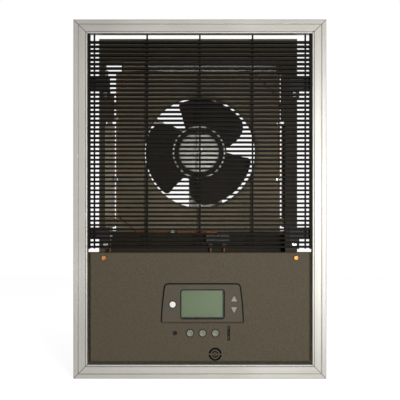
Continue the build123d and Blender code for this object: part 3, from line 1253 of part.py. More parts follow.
def make_leads():
    """Insulated leads, each in one piece from terminal to terminal."""
    pin_z = SHEATH_BOTTOM - PIN_L
    pole_z = PANEL_TOP - BLOCK_DROP + BLOCK_H / 2
    relay_z = PANEL_TOP - RELAY_DROP + RELAY_H / 2 + TAB_L
    relay_y = TRAY_Y - RELAY_D / 2 + TAB_T / 2
    limit_z = TRAY_TOP - CHASSIS_SHEET - LIMIT_H - TAB_L
    limit_y = LIMIT_Y0 + LIMIT_TAB_Y + TAB_T / 2
    first = BLOCK_X - BLOCK_PITCH
    third = BLOCK_X + BLOCK_PITCH
    relay_left = RELAY_X + RELAY_TABS[0]
    relay_right = RELAY_X + RELAY_TABS[-1]
    routes = []
    routes.append(([(ELEMENT_LEFT, ELEMENT_Y, pin_z), (ELEMENT_LEFT, ELEMENT_Y, pin_z - LEAD_DROP),
                    (first - LEAD_SWAY, LEAD_SWAY_Y, pin_z - LEAD_FALL),
                    (first, LEAD_POLE_Y, pole_z + LEAD_POLE_RISE), (first, LEAD_POLE_Y, pole_z)],
                   LEAD_POLE_BENDS))
    routes.append(([(ELEMENT_RIGHT, ELEMENT_Y, pin_z), (ELEMENT_RIGHT, ELEMENT_Y, pin_z - LEAD_RELAY_DROP),
                    (relay_right, relay_y, relay_z + LEAD_RELAY_RISE), (relay_right, relay_y, relay_z)],
                   LEAD_RELAY_BENDS))
    right_tab = LIMIT_X + LIMIT_TAB_X
    routes.append(([(right_tab, limit_y, limit_z), (right_tab, limit_y, limit_z - LEAD_LIMIT_DROP),
                    (relay_left, relay_y, relay_z + LEAD_LIMIT_RISE), (relay_left, relay_y, relay_z)],
                   LEAD_LIMIT_BENDS))
    left_tab = LIMIT_X - LIMIT_TAB_X
    routes.append(([(left_tab, limit_y, limit_z), (left_tab, limit_y, limit_z - LEAD_LONG_DROP),
                    (third + LEAD_LONG_SWAY, LEAD_LONG_Y, limit_z - LEAD_LONG_FALL),
                    (third, LEAD_POLE_Y, pole_z + LEAD_LONG_RISE), (third, LEAD_POLE_Y, pole_z)],
                   LEAD_LONG_BENDS))
    top = SHEATH_TOP + PIN_L
    run_z = CHASSIS_TOP - CHASSIS_SHEET - FIT - WIRE_R
    left_x = ELEMENT_LEFT - SHEATH_JOG
    right_x = ELEMENT_RIGHT + SHEATH_JOG
    routes.append(([(left_x, ELEMENT_Y, top), (left_x, ELEMENT_Y, run_z), (right_x, ELEMENT_Y, run_z),
                    (right_x, ELEMENT_Y, top)], (LEAD_TOP_BEND, LEAD_TOP_BEND)))
    save("lead_wires", *[tube(points, bends, WIRE_R) for points, bends in routes])


def main():
    os.makedirs("parts", exist_ok=True)
    make_trim()
    make_grille()
    make_panel()
    make_bezel()
    make_display()
    make_buttons()
    make_control_board()
    make_chassis()
    make_brackets()
    screws = make_deck()
    make_baffle()
    make_tray()
    make_fan()
    screws += make_strap()
    screws += make_motor()
    save("fan_screws", *screws)
    make_elements()
    make_limit()
    make_controls()
    make_leads()


main()
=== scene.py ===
import math

import bmesh
import bpy
from mathutils import Matrix, Vector


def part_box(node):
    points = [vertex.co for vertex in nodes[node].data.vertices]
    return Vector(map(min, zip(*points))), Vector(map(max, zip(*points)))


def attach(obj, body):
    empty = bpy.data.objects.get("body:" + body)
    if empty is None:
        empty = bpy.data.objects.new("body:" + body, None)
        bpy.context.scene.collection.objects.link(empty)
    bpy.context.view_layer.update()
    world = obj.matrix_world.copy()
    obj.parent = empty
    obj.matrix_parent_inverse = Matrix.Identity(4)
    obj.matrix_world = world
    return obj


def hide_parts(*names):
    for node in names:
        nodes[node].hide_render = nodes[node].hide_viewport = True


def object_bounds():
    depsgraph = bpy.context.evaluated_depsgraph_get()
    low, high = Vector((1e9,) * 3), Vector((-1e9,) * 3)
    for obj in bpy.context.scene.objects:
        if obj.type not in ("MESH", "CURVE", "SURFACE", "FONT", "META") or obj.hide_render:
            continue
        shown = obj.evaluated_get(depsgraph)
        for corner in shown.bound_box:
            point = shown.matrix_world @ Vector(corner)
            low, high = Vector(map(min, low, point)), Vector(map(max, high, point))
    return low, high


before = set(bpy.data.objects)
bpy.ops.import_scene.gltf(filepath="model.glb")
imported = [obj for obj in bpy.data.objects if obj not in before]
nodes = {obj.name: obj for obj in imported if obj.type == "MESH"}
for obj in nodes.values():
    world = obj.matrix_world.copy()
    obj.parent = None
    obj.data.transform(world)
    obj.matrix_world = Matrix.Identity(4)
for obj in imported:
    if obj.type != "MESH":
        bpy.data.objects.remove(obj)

cad_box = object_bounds()


# Trim: four lengths of extruded aluminium, mitred at the corners and satin anodised. The die
# leaves fine lines along each length; the outer bead and the inner edge stand proud of the face.

class Wire:
    """A socket in a material, so that shader maths is written as plain expressions."""

    def __init__(self, tree, socket=None):
        self.tree = tree
        self.socket = socket

    def node(self, kind, settings=None, inputs=None, output=0):
        """Adds a node: its settings first, then the values or links of its sockets."""
        made = self.tree.nodes.new(kind)
        for key, value in (settings or {}).items():
            setattr(made, key, value)
        for key, value in (inputs or {}).items():
            if isinstance(value, Wire):
                self.tree.links.new(value.socket, made.inputs[key])
            else:
                made.inputs[key].default_value = value
        return Wire(self.tree, made.outputs[output])

    def maths(self, operation, other, swapped=False):
        first, second = (other, self) if swapped else (self, other)
        return self.node("ShaderNodeMath", {"operation": operation}, {0: first, 1: second})

    def __add__(self, other):
        return self.maths("ADD", other)

    def __sub__(self, other):
        return self.maths("SUBTRACT", other)

    def __mul__(self, other):
        return self.maths("MULTIPLY", other)

    def __rsub__(self, other):
        return self.maths("SUBTRACT", other, swapped=True)

    def __abs__(self):
        return self.maths("ABSOLUTE", 0.0)

    __radd__ = __add__
    __rmul__ = __mul__

    def ease(self, low, high):
        """0 below low, 1 above high, smooth between."""
        return self.node("ShaderNodeMapRange", {"interpolation_type": "SMOOTHSTEP"},
                         {"Value": self, "From Min": low, "From Max": high})

    def blend(self, first, second):
        """The first colour where this is 0, the second where it is 1."""
        return self.node("ShaderNodeMix", {"data_type": "RGBA"}, {0: self, 6: first, 7: second}, output=2)


def start(name):
    """A new material, the wire that adds its nodes, and the place on the piece in metres."""
    material = bpy.data.materials.new(name)
    material.use_nodes = True
    material.node_tree.nodes.clear()
    wire = Wire(material.node_tree)
    return material, wire, wire.node("ShaderNodeTexCoord", output="Object")


def along(place, axis):
    """One coordinate of the place, in metres."""
    return place.node("ShaderNodeSeparateXYZ", {}, {"Vector": place}, output=axis)


def noise(place, scale, detail=2.0, stretch=None):
    """Cloudy noise with features about 1/scale metres wide, stretched along an axis if asked."""
    if stretch:
        place = place.node("ShaderNodeVectorMath", {"operation": "MULTIPLY"}, {0: place, 1: stretch})
    return place.node("ShaderNodeTexNoise", {}, {"Vector": place, "Scale": scale, "Detail": detail})


def edge_of(wire, radius):
    """The normal rounded over near edges, and a mask that is 1 on the edge itself."""
    soft = wire.node("ShaderNodeBevel", {"samples": 6}, {"Radius": radius})
    flat = wire.node("ShaderNodeNewGeometry", output="Normal")
    turned = wire.node("ShaderNodeVectorMath", {"operation": "DOT_PRODUCT"}, {0: soft, 1: flat}, "Value")
    return soft, (1 - turned).ease(0.02, 0.22)


def painted_crevice_shade(wire, reach):
    """1 deep in gaps narrower than about reach: the mask for painted shade in crevices."""
    open_air = wire.node("ShaderNodeAmbientOcclusion", {"samples": 6}, {"Distance": reach}, "AO")
    return (1 - open_air).ease(0.35, 0.75)


def relief(height, depth, normal):
    return height.node("ShaderNodeBump", {}, {"Height": height, "Distance": depth, "Normal": normal})


def surface(wire, sockets):
    """Ends a material with one Principled shader."""
    shader = wire.node("ShaderNodeBsdfPrincipled", {}, sockets)
    ending = wire.tree.nodes.new("ShaderNodeOutputMaterial")
    wire.tree.links.new(shader.socket, ending.inputs["Surface"])


def tone(red, green, blue):
    """A colour as read off a screen, 0 to 255, made linear."""
    parts = [((c / 255 + 0.055) / 1.055) ** 2.4 if c > 10 else c / 255 / 12.92 for c in (red, green, blue)]
    return (*parts, 1.0)


def dress(material, *names):
    """Gives CAD nodes a material."""
    for name in names:
        for place in nodes[name].material_slots:
            place.material = material


TRIM_MIDDLE = (cad_box[0].z + cad_box[1].z) / 2
MITRE_LEAD = (cad_box[1].z - cad_box[0].z - cad_box[1].x + cad_box[0].x) / 2


def satin_aluminium(name, grain):
    material, wire, place = start(name)
    lines = noise(place, 1.0, 3.0, [4.0 if axis == grain else 1500.0 for axis in "XYZ"])
    cloud = noise(place, 9.0, 3.0)
    speck = noise(place, 700.0, 1.0)
    soft, edge = edge_of(wire, 0.0006)
    off_mitre = abs(abs(along(place, "X")) - abs(along(place, "Z") - TRIM_MIDDLE) + MITRE_LEAD)
    colour = cloud.ease(0.3, 0.7).blend(tone(186, 183, 176), tone(197, 195, 188))
    colour = (lines.ease(0.35, 0.75) * 0.4).blend(colour, tone(160, 158, 151))
    colour = (edge * 0.4).blend(colour, tone(216, 215, 211))
    # Painted shade: the trim is darkened in narrow gaps.
    colour = (painted_crevice_shade(wire, 0.0016) * 0.8).blend(colour, tone(70, 66, 60))
    colour = ((1 - off_mitre.ease(0.0003, 0.0010)) * 0.75).blend(colour, tone(84, 80, 74))
    rough = 0.36 + cloud * 0.10 + lines * 0.12 - edge * 0.10
    height = lines * 0.7 + speck * 0.3
    surface(wire, {"Base Color": colour, "Metallic": 0.85, "Roughness": rough,
                   "Normal": relief(height, 0.00003, soft)})
    return material


dress(satin_aluminium("satin_aluminium_across", "X"), "trim_top", "trim_bottom")
dress(satin_aluminium("satin_aluminium_upright", "Z"), "trim_left", "trim_right")


# Corner keys and zinc plated fasteners: punched steel angles inside the trim's corners, and the
# screws, posts and small pressings, all bright zinc plated with the plating's dull cloudy bloom.

def zinc_plate(name, shade, bloom, gloss):
    material, wire, place = start(name)
    cloud = noise(place, 160.0, 4.0)
    speck = noise(place, 1800.0, 2.0)
    soft, edge = edge_of(wire, 0.0003)
    colour = cloud.ease(0.35, 0.65).blend(shade, bloom)
    colour = (edge * 0.6).blend(colour, tone(230, 228, 222))
    rough = gloss + cloud * 0.16 + speck * 0.06
    surface(wire, {"Base Color": colour, "Metallic": 1.0, "Roughness": rough,
                   "Normal": relief(speck, 0.00002, soft)})
    return material


zinc = zinc_plate("zinc_plated_steel", tone(196, 194, 186), tone(172, 171, 164), 0.22)
dress(zinc, "corner_keys", "corner_key_screws", "panel_posts", "fixing_screws", "chassis_screws", "hub_nut",
      "fan_screws", "element_clips", "capillary_clips", "motor_shaft")


# Grille bars: 48 flat steel bars on edge, drawn with rounded corners and welded to the supports
# behind them, in satin black enamel. The photograph shows them thicker than the solids, so this
# piece stands for them with each face moved out by the swell.

def enamel(name, colour, worn, grain, depth, gloss, cloudy=0.25, painted_shade_reach=0.0, shine=0.4, painted_shade_mask=None):
    """Baked enamel: fine orange peel, cloudy gloss, paint thinned at the edges, painted shade in narrow gaps
    and on given rims, and fine flecks.
    """
    material, wire, place = start(name)
    cloud = noise(place, 14.0, 4.0)
    peel = noise(place, grain, 2.0)
    dirt = noise(place, 60.0, 5.0)
    soft, edge = edge_of(wire, 0.0005)
    low = [c * (1 - cloudy) for c in colour[:3]] + [1.0]
    high = [c * (1 + cloudy) for c in colour[:3]] + [1.0]
    shade = (cloud * 0.6 + peel * 0.4).ease(0.3, 0.7).blend(low, high)
    shade = (edge * dirt.ease(0.35, 0.6) * 0.55).blend(shade, worn)
    # Painted shade: near black in gaps narrower than the reach.
    if painted_shade_reach:
        shade = painted_crevice_shade(wire, painted_shade_reach).blend(shade, tone(10, 9, 7))
    if painted_shade_mask:
        fleck = [c * 1.3 for c in colour[:3]] + [1.0]
        shade = noise(place, 520.0, 1.0).ease(0.35, 0.65).blend(shade, fleck)
        # Painted shade: the given rims go near black.
        shade = painted_shade_mask(place).blend(shade, tone(12, 10, 8))
    rough = gloss + cloud * 0.12 + dirt * 0.08
    surface(wire, {"Base Color": shade, "Roughness": rough, "Specular IOR Level": shine,
                   "Normal": relief(peel, depth, soft)})
    return material


BAR_COUNT = 48
BAR_STOCK = 0.0020
BAR_SWELL = 0.00045
BAR_CORNER = 0.00035
bars_low, bars_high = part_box("grille_bars")


def boxes(name, corners, rounding, segments=2):
    """A mesh of rounded blocks from their low and high corners."""
    work = bmesh.new()
    for low, high in corners:
        middle = (Vector(low) + Vector(high)) / 2
        size = Vector(high) - Vector(low)
        bmesh.ops.create_cube(work, size=1, matrix=Matrix.Translation(middle) @ Matrix.Diagonal((*size, 1)))
    bmesh.ops.bevel(work, geom=work.edges[:], offset=rounding, segments=segments, profile=0.5, affect="EDGES")
    mesh = bpy.data.meshes.new(name)
    work.to_mesh(mesh)
    work.free()
    piece = bpy.data.objects.new(name, mesh)
    bpy.context.scene.collection.objects.link(piece)
    return piece


def fit(piece, material, slot, *stands_for):
    """Finishes a new piece: smooth shading, material, and what it stands for on the root body."""
    piece.data.materials.append(material)
    for face in piece.data.polygons:
        face.use_smooth = True
    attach(piece, "root")
    if stands_for:
        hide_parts(*stands_for)
    return piece


black_enamel = enamel("black_enamel", tone(15, 12, 8), tone(40, 34, 24), 900.0, 0.00004, 0.50, shine=0.15)
bar_step = (bars_high.z - bars_low.z - BAR_STOCK) / (BAR_COUNT - 1)
bar_corners = []
for index in range(BAR_COUNT):
    bottom = bars_low.z + bar_step * index
    bar_corners.append(((bars_low.x, bars_low.y, bottom - BAR_SWELL),
                        (bars_high.x, bars_high.y, bottom + BAR_STOCK + BAR_SWELL)))
fit(boxes("grille_bars_drawn", bar_corners, BAR_CORNER), black_enamel, "black_paint", "grille_bars")


# Grille supports and side channels: five upright flats behind the bars, and a folded channel at
# each end of the bars. They carry the same black enamel.

dress(black_enamel, "grille_supports", "grille_side_left", "grille_side_right")


# Access panel: a folded steel cover over the controls, finished in finely textured bronze enamel
# and held by two copper coloured screws in hexagonal posts.

KEY_ROW = ((-0.0141, -0.2513), (0.0039, -0.2513), (0.0222, -0.2513))
KEY_ROW_R = 0.0047
RESET_HOLE = (-0.0357, -0.2513)
SLOT = (0.0413, -0.2513)
VENT = (0.0219, -0.2815)
VENT_RINGS = ((0.0067, 0.0094), (0.0027, 0.0049), (0.0, 0.0011))
RIM = 0.0012


def distance_from(spot, place):
    """Distance from a line through a spot of the front, straight into the wall."""
    away = place.node("ShaderNodeVectorMath", {"operation": "SUBTRACT"},
                      {0: place, 1: (spot[0], 0.0, spot[1])})
    away = place.node("ShaderNodeVectorMath", {"operation": "MULTIPLY"}, {0: away, 1: (1.0, 0.0, 1.0)})
    return place.node("ShaderNodeVectorMath", {"operation": "LENGTH"}, {0: away}, output="Value")


def rim(place, spot, inner, outer):
    """1 on a ring round a spot on the front, from its inner to its outer radius."""
    away = distance_from(spot, place)
    return away.ease(inner - 0.0002, inner) - away.ease(outer, outer + 0.0003)


def painted_rim_shade(place):
    """Painted shade: the dark lines round the keys, the reset hole, the slot and the vent's slots, where they
    fall into shadow.
    """
    rim_shade = rim(place, RESET_HOLE, 0.0, 0.0031)
    for spot in KEY_ROW:
        rim_shade = rim_shade.maths("MAXIMUM", rim(place, spot, KEY_ROW_R, KEY_ROW_R + RIM))
    for inner, outer in VENT_RINGS:
        rim_shade = rim_shade.maths("MAXIMUM", rim(place, VENT, inner, outer))
    across = abs(along(place, "X") - SLOT[0])
    rise = abs(along(place, "Z") - SLOT[1])
    slot = (1 - across.ease(0.0019, 0.0022)) * (1 - rise.ease(0.0106, 0.0109))
    off_bridge = abs(along(place, "Z") - VENT[1]).ease(0.0006, 0.0010)
    bridge = rim(place, VENT, 0.0025, 0.0100) * (1 - off_bridge)
    return rim_shade.maths("MAXIMUM", slot) * (1 - bridge) * 0.92


bronze_enamel = enamel("bronze_enamel", tone(74, 66, 50), tone(100, 91, 72), 1500.0, 0.00006, 0.52, 0.07,
                       painted_shade_reach=0.0040, shine=0.3, painted_shade_mask=painted_rim_shade)
dress(bronze_enamel, "access_panel")
copper_plate = zinc_plate("copper_plated_steel", tone(206, 140, 78), tone(172, 108, 56), 0.24)
dress(copper_plate, "panel_screws")


# Thermostat bezel: a moulded bronze cover that stands a little proud of the panel, its face
# spark eroded in the mould, with clear holes for the display and the keys.

def moulding(name, colour, texture, depth, gloss, spread=0.10, shaded_from=None):
    """Injection moulded plastic: even colour, fine mould texture, rubbed edges, and painted shade behind its
    front if asked.
    """
    material, wire, place = start(name)
    cloud = noise(place, 22.0, 3.0)
    pits = noise(place, texture, 2.0)
    soft, edge = edge_of(wire, 0.0004)
    low = [c * (1 - spread) for c in colour[:3]] + [1.0]
    high = [min(1.0, c * (1 + spread)) for c in colour[:3]] + [1.0]
    shade = (cloud * 0.5 + pits * 0.5).ease(0.3, 0.7).blend(low, high)
    # Painted shade: near black wherever the moulding lies behind the given front.
    if shaded_from:
        painted_sunk_shade = along(place, "Y").ease(shaded_from, shaded_from + 0.0004)
        shade = painted_sunk_shade.blend(shade, tone(8, 7, 6))
    rough = gloss + pits * 0.10 - edge * 0.12
    surface(wire, {"Base Color": shade, "Roughness": rough, "Specular IOR Level": 0.5,
                   "Normal": relief(pits, depth, soft)})
    return material


BEZEL_RIM_BACK = -0.0132
BEZEL_FOOT = -0.2346
MODE_KEY = (-0.0390, -0.2100)
MODE_KEY_R = 0.00435

material, wire, place = start("bronze_moulding")
cloud = noise(place, 22.0, 3.0)
pits = noise(place, 1700.0, 2.0)
# Painted shade: the bezel goes near black and rougher behind its rim, weaker at its foot.
above_foot = along(place, "Z").ease(BEZEL_FOOT - 0.0012, BEZEL_FOOT)
painted_recess_shade = along(place, "Y").ease(BEZEL_RIM_BACK, BEZEL_RIM_BACK + 0.0003) * (above_foot * 0.7 + 0.3)
soft, edge = edge_of(wire, 0.0004)
shade = (cloud * 0.4 + pits * 0.6).ease(0.3, 0.7).blend(tone(70, 61, 48), tone(83, 73, 58))
shade = (edge * 0.35).blend(shade, tone(104, 92, 76))
# Painted shade: a dark ring round the mode key.
shade = (rim(place, MODE_KEY, MODE_KEY_R, MODE_KEY_R + RIM) * 0.9).blend(shade, tone(12, 10, 8))
shade = painted_recess_shade.blend(shade, tone(5, 5, 4))
surface(wire, {"Base Color": shade, "Roughness": 0.48 + pits * 0.10 + painted_recess_shade * 0.3,
               "Specular IOR Level": 0.35, "Normal": relief(pits, 0.00005, soft)})
dress(material, "thermostat_bezel")
black_moulding = moulding("black_moulding", tone(30, 29, 27), 1200.0, 0.00003, 0.42)
dress(black_moulding, "thermostat_case", "key_switches", "limit_switch", "terminal_block")
dress(moulding("matt_black_moulding", tone(8, 7, 6), 1200.0, 0.00003, 0.75), "reset_button", "range_lever",
      "room_sensor")


# Display: an unlit reflective module behind a clear acrylic window, in a soft black gasket that
# hides the window's edge.

dress(moulding("black_gasket", tone(7, 7, 6), 600.0, 0.00004, 0.72), "lcd_gasket")

material, wire, place = start("reflective_display")
cells = noise(place, 2400.0, 1.0)
haze = noise(place, 30.0, 2.0)
# Painted light: the green is lighter towards the right.
green = along(place, "X").ease(-0.03, 0.045).blend(tone(98, 119, 81), tone(112, 131, 93))
green = (cells * 0.3 + haze * 0.3).blend(green, tone(84, 105, 67))
surface(wire, {"Base Color": green, "Roughness": 0.35 + cells * 0.15})
dress(material, "lcd_module")

# Painted shade: the window goes near black and opaque along its right and bottom edges.
SHADE_BORDER_RIGHT = 0.0330
SHADE_BORDER_FOOT = -0.2286
material, wire, place = start("clear_acrylic")
dust = noise(place, 90.0, 4.0)
soft, edge = edge_of(wire, 0.0003)
painted_shade_border = along(place, "X").ease(SHADE_BORDER_RIGHT, SHADE_BORDER_RIGHT + 0.0002)
painted_shade_border = painted_shade_border.maths("MAXIMUM", 1 - along(place, "Z").ease(SHADE_BORDER_FOOT - 0.0002, SHADE_BORDER_FOOT))
surface(wire, {"Base Color": painted_shade_border.blend(tone(120, 124, 112), tone(6, 6, 5)),
               "Roughness": 0.08 + dust * 0.12,
               "Alpha": (0.06 + edge * 0.25).maths("MAXIMUM", painted_shade_border * 0.95),
               "Normal": relief(dust, 0.00001, soft)})
dress(material, "lcd_lens")


# Keys: moulded caps that slide in the bezel or the panel. The mode key is glossy white, the two
# arrows and the three dished round keys are grey brown.

# The mode key and the round keys carry painted shade on their sides behind these fronts.
BEZEL_FRONT = -0.0145
PANEL_FRONT = -0.0130
dress(moulding("white_moulding", tone(244, 241, 234), 900.0, 0.00001, 0.22, 0.04, BEZEL_FRONT),
      "mode_button")
dress(moulding("arrow_moulding", tone(146, 138, 121), 1400.0, 0.00003, 0.38), "up_button", "down_button")
dress(moulding("grey_moulding", tone(122, 122, 109), 1400.0, 0.00003, 0.36, 0.10, PANEL_FRONT),
      "program_button_left", "program_button_middle", "program_button_right")


# Thermostat board: glass cloth laminate under a green solder mask, with the tracks' faint pattern.
# It stands on the rear case behind the keys.

material, wire, place = start("solder_mask")
weave = noise(place, 1.0, 1.0, [900.0, 900.0, 900.0])
tracks = wire.node("ShaderNodeTexVoronoi", {"feature": "DISTANCE_TO_EDGE"}, {"Vector": place, "Scale": 220.0})
green = (tracks * 6.0).ease(0.1, 0.5).blend(tone(22, 78, 42), tone(36, 104, 60))
surface(wire, {"Base Color": (weave * 0.3).blend(green, tone(16, 60, 34)), "Roughness": 0.30 + weave * 0.1})
dress(material, "thermostat_board")


# Chassis: a folded steel hood and two sides that screw to the trim through four flat brackets, all in dark
# bronze enamel. The hood and the left side carry a lighter copy of it and the right side and the wiring tray
# a darker copy: painted light and painted shade.

painted_shade_enamel = enamel("painted_shade_enamel", tone(66, 59, 43), tone(98, 89, 68), 1100.0, 0.00005, 0.50, shine=0.2)
dress(painted_shade_enamel, "chassis_side_right", "wiring_tray")
dress(enamel("painted_light_enamel", tone(90, 82, 63), tone(118, 108, 88), 1100.0, 0.00005, 0.52, shine=0.2),
      "chassis_hood", "chassis_side_left")
dress(enamel("bracket_enamel", tone(44, 40, 32), tone(90, 82, 68), 1100.0, 0.00005, 0.42),
      "mounting_brackets")


# Fan deck: the pressed steel sheet in front of the fan, with a bell-mouthed hole for its air, in bronze
# enamel like the panel's, set much lighter than the panel's: painted light.

dress(enamel("deck_enamel_painted_light", tone(146, 134, 107), tone(170, 158, 131), 1200.0, 0.00005, 0.54, shine=0.25),
      "fan_deck")


# Top baffle and motor strap: folded galvanised sheet, left bare, with the zinc's faint spangle. The
# strap carries the motor behind the deck.

material, wire, place = start("galvanised_sheet")
spangle = wire.node("ShaderNodeTexVoronoi", {"feature": "F1"}, {"Vector": place, "Scale": 140.0},
                    output="Color")
cell = wire.node("ShaderNodeSeparateColor", {}, {"Color": spangle}, output="Red")
cloud = noise(place, 25.0, 4.0)
soft, edge = edge_of(wire, 0.0004)
colour = (cell * 0.6 + cloud * 0.4).blend(tone(248, 244, 230), tone(255, 252, 240))
surface(wire, {"Base Color": colour, "Metallic": 0.05, "Roughness": 0.42 + cell * 0.14,
               "Normal": relief(cloud, 0.00004, soft)})
dress(material, "top_baffle", "motor_strap")


# Fan: three wide pressed blades on a spider in dark enamel, with a near-white painted highlight on the
# spider's raised bead, and a bright spun aluminium hub riveted to the front.

FAN_CENTRE = (-0.0015, 0.0106)
BEAD_RADIUS = 0.038
HUB_TURNS = 900.0

material, wire, place = start("blade_enamel")
cloud = noise(place, 30.0, 4.0)
peel = noise(place, 1300.0, 2.0)
soft, edge = edge_of(wire, 0.0005)
off_bead = distance_from(FAN_CENTRE, place) - BEAD_RADIUS
# Painted highlight: a near-white ring along the raised bead, broken up by noise, a little more metallic and
# glossy there.
painted_bead_glint = 1 - (off_bead * off_bead * 1.0e6).ease(0.6, 2.6)
painted_bead_glint = painted_bead_glint * noise(place, 120.0, 3.0).ease(0.30, 0.45)
shade = cloud.ease(0.3, 0.7).blend(tone(46, 40, 30), tone(62, 54, 41))
shade = (edge * 0.5).blend(shade, tone(110, 100, 82))
shade = painted_bead_glint.blend(shade, tone(252, 249, 238))
surface(wire, {"Base Color": shade, "Metallic": painted_bead_glint * 0.3, "Roughness": 0.52 + cloud * 0.1 - painted_bead_glint * 0.2,
               "Specular IOR Level": 0.2, "Normal": relief(peel, 0.00004, soft)})
dress(material, "fan_blades")

material, wire, place = start("spun_aluminium")
reach = distance_from(FAN_CENTRE, place)
turned = wire.node("ShaderNodeMath", {"operation": "SINE"}, {0: reach * HUB_TURNS * 6.2832})
cloud = noise(place, 60.0, 4.0)
soft, edge = edge_of(wire, 0.0006)
colour = (turned * 0.2 + cloud * 0.8).ease(0.4, 0.6).blend(tone(230, 225, 209), tone(255, 255, 252))
surface(wire, {"Base Color": colour, "Metallic": 0.1, "Roughness": 0.26 + cloud * 0.16,
               "Normal": relief(turned * 0.5 + cloud * 0.5, 0.00002, soft)})
dress(material, "fan_hub")


# Motor: die cast end bells round a stack of steel laminations, copper windings and porous bronze
# bearings.

dress(zinc_plate("die_casting", tone(168, 168, 164), tone(146, 146, 142), 0.42), "motor_front_bell",
      "motor_rear_bell")

SHEET_TURNS = 12566.0
material, wire, place = start("laminations")
sheets = wire.node("ShaderNodeMath", {"operation": "SINE"}, {0: along(place, "Y") * SHEET_TURNS})
rust = noise(place, 120.0, 4.0)
colour = rust.ease(0.45, 0.7).blend(tone(110, 110, 112), tone(96, 80, 66))
colour = (sheets * 0.5 + 0.5).ease(0.0, 0.4).blend(tone(50, 50, 52), colour)
surface(wire, {"Base Color": colour, "Metallic": 0.8, "Roughness": 0.45 + rust * 0.15})
dress(material, "stator_core", "motor_rotor")

material, wire, place = start("enamelled_winding")
strands = noise(place, 1.0, 2.0, [2600.0, 60.0, 2600.0])
colour = strands.ease(0.3, 0.7).blend(tone(128, 62, 30), tone(206, 116, 60))
surface(wire, {"Base Color": colour, "Metallic": 0.7, "Roughness": 0.30 + strands * 0.2,
               "Normal": relief(strands, 0.0001, wire.node("ShaderNodeNewGeometry", output="Normal"))})
dress(material, "stator_windings")
dress(zinc_plate("porous_bronze", tone(168, 128, 72), tone(140, 102, 56), 0.40), "motor_bearings")


# Elements: a steel strip heater with fins welded to its back at each side of the deck, dulled and
# straw coloured by heat.

def heated_steel(name, bare, clouded, metal):
    material, wire, place = start(name)
    cloud = noise(place, 45.0, 5.0)
    speck = noise(place, 900.0, 2.0)
    soft, edge = edge_of(wire, 0.0003)
    colour = cloud.ease(0.35, 0.65).blend(bare, clouded)
    colour = (speck.ease(0.55, 0.7) * 0.7).blend(colour, tone(128, 112, 88))
    colour = (edge * 0.3).blend(colour, tone(230, 222, 204))
    surface(wire, {"Base Color": colour, "Metallic": metal, "Roughness": 0.40 + cloud * 0.2,
                   "Normal": relief(speck, 0.00003, soft)})
    return material


# The left element's steel is set lighter and the right one's darker: painted light and painted shade on one
# steel.
dress(heated_steel("painted_light_strip", tone(226, 214, 190), tone(206, 192, 166), 0.15), "element_left")
dress(heated_steel("painted_shade_strip", tone(182, 168, 138), tone(154, 140, 112), 0.3), "element_right")


# Limit capillary: drawn copper tube, browned by heat, led round the deck and held by saddle clips.
# It senses the deck's heat for the limit switch.

material, wire, place = start("drawn_copper")
tarnish = noise(place, 70.0, 5.0)
colour = tarnish.ease(0.4, 0.65).blend(tone(190, 108, 58), tone(112, 66, 42))
surface(wire, {"Base Color": colour, "Metallic": 1.0, "Roughness": 0.28 + tarnish * 0.25})
dress(material, "limit_capillary")


# Supply side: brass screws in the terminal block, a relay in a smooth moulded case, and leads in
# orange silicone sleeving.

dress(zinc_plate("brass", tone(206, 170, 96), tone(176, 140, 74), 0.26), "terminal_screws")
dress(moulding("relay_case", tone(40, 40, 44), 500.0, 0.00001, 0.24), "power_relay")
dress(moulding("orange_silicone", tone(196, 108, 42), 1600.0, 0.00005, 0.55), "lead_wires")


# Stage: a pale floor, an even white surround, and a large soft light to the right, with weaker
# ones to the left and above and a small one beside the camera.

FLOOR_REACH = 1.6
floor_level = cad_box[0].z - 0.0005
work = bmesh.new()
bmesh.ops.create_grid(work, x_segments=24, y_segments=24, size=FLOOR_REACH,
                      matrix=Matrix.Translation((0, 0, floor_level)))
mesh = bpy.data.meshes.new("floor")
work.to_mesh(mesh)
work.free()
floor = bpy.data.objects.new("floor", mesh)
bpy.context.scene.collection.objects.link(floor)
material, wire, place = start("pale_floor")
mottle = noise(place, 6.0, 3.0)
surface(wire, {"Base Color": (mottle * 0.5).blend((0.86, 0.86, 0.86, 1), (0.92, 0.92, 0.92, 1)),
               "Roughness": 0.7 + mottle * 0.1, "Emission Strength": 0.8,
               "Emission Color": wire.node("ShaderNodeLightPath", output="Is Camera Ray").blend(
                   (0.3, 0.3, 0.3, 1), (1, 1, 1, 1))})
mesh.materials.append(material)

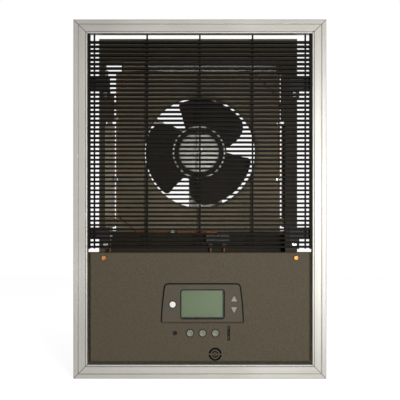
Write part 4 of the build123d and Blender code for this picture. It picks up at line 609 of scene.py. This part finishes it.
world = bpy.data.worlds.new("surround")
bpy.context.scene.world = world
world.use_nodes = True
world.node_tree.nodes.clear()
sky = Wire(world.node_tree)
seen = sky.node("ShaderNodeLightPath", output="Is Camera Ray")
mirrored = sky.node("ShaderNodeLightPath", output="Is Glossy Ray")
glow = mirrored.blend((0.15, 0.15, 0.15, 1), (0.45, 0.45, 0.45, 1))
light = sky.node("ShaderNodeBackground", {}, {"Color": seen.blend(glow, (1, 1, 1, 1)), "Strength": 1.0})
ending = world.node_tree.nodes.new("ShaderNodeOutputWorld")
world.node_tree.links.new(light.socket, ending.inputs["Surface"])


def soft_light(name, place, aim, size, power):
    """A large square soft light at place, turned to aim."""
    lamp = bpy.data.lights.new(name, "AREA")
    lamp.shape = "SQUARE"
    lamp.size = size
    lamp.energy = power
    holder = bpy.data.objects.new(name, lamp)
    holder.location = place
    holder.rotation_mode = "QUATERNION"
    holder.rotation_quaternion = (Vector(aim) - Vector(place)).to_track_quat("-Z", "Y")
    bpy.context.scene.collection.objects.link(holder)


MIDDLE = (0.0, 0.0, -0.06)
soft_light("key_light", (1.05, -1.00, 0.15), MIDDLE, 0.8, 7.0)
soft_light("fill_light", (-0.80, -1.35, 0.10), MIDDLE, 1.1, 0.8)
soft_light("top_light", (0.1, -0.5, 1.4), MIDDLE, 0.9, 2.0)
soft_light("flash", (0.20, -1.22, -0.0604), MIDDLE, 0.14, 5.2)


# Camera: square to the trim, 1.2 m from its front, with the lens that fills the picture with
# 572 mm of the trim's plane.

PICTURE_WIDTH = 0.572
CAMERA_REACH = 1.2
CAMERA_ACROSS = 0.0002
CAMERA_HEIGHT = -0.0604
SENSOR = 36.0
lens = bpy.data.cameras.new("camera")
lens.sensor_width = SENSOR
lens.lens = SENSOR * CAMERA_REACH / PICTURE_WIDTH
camera = bpy.data.objects.new("camera", lens)
camera.location = (CAMERA_ACROSS, cad_box[0].y - CAMERA_REACH, CAMERA_HEIGHT)
camera.rotation_euler = (math.radians(90), 0, 0)
bpy.context.scene.collection.objects.link(camera)
bpy.context.scene.camera = camera
bpy.context.scene.view_settings.view_transform = "Standard"
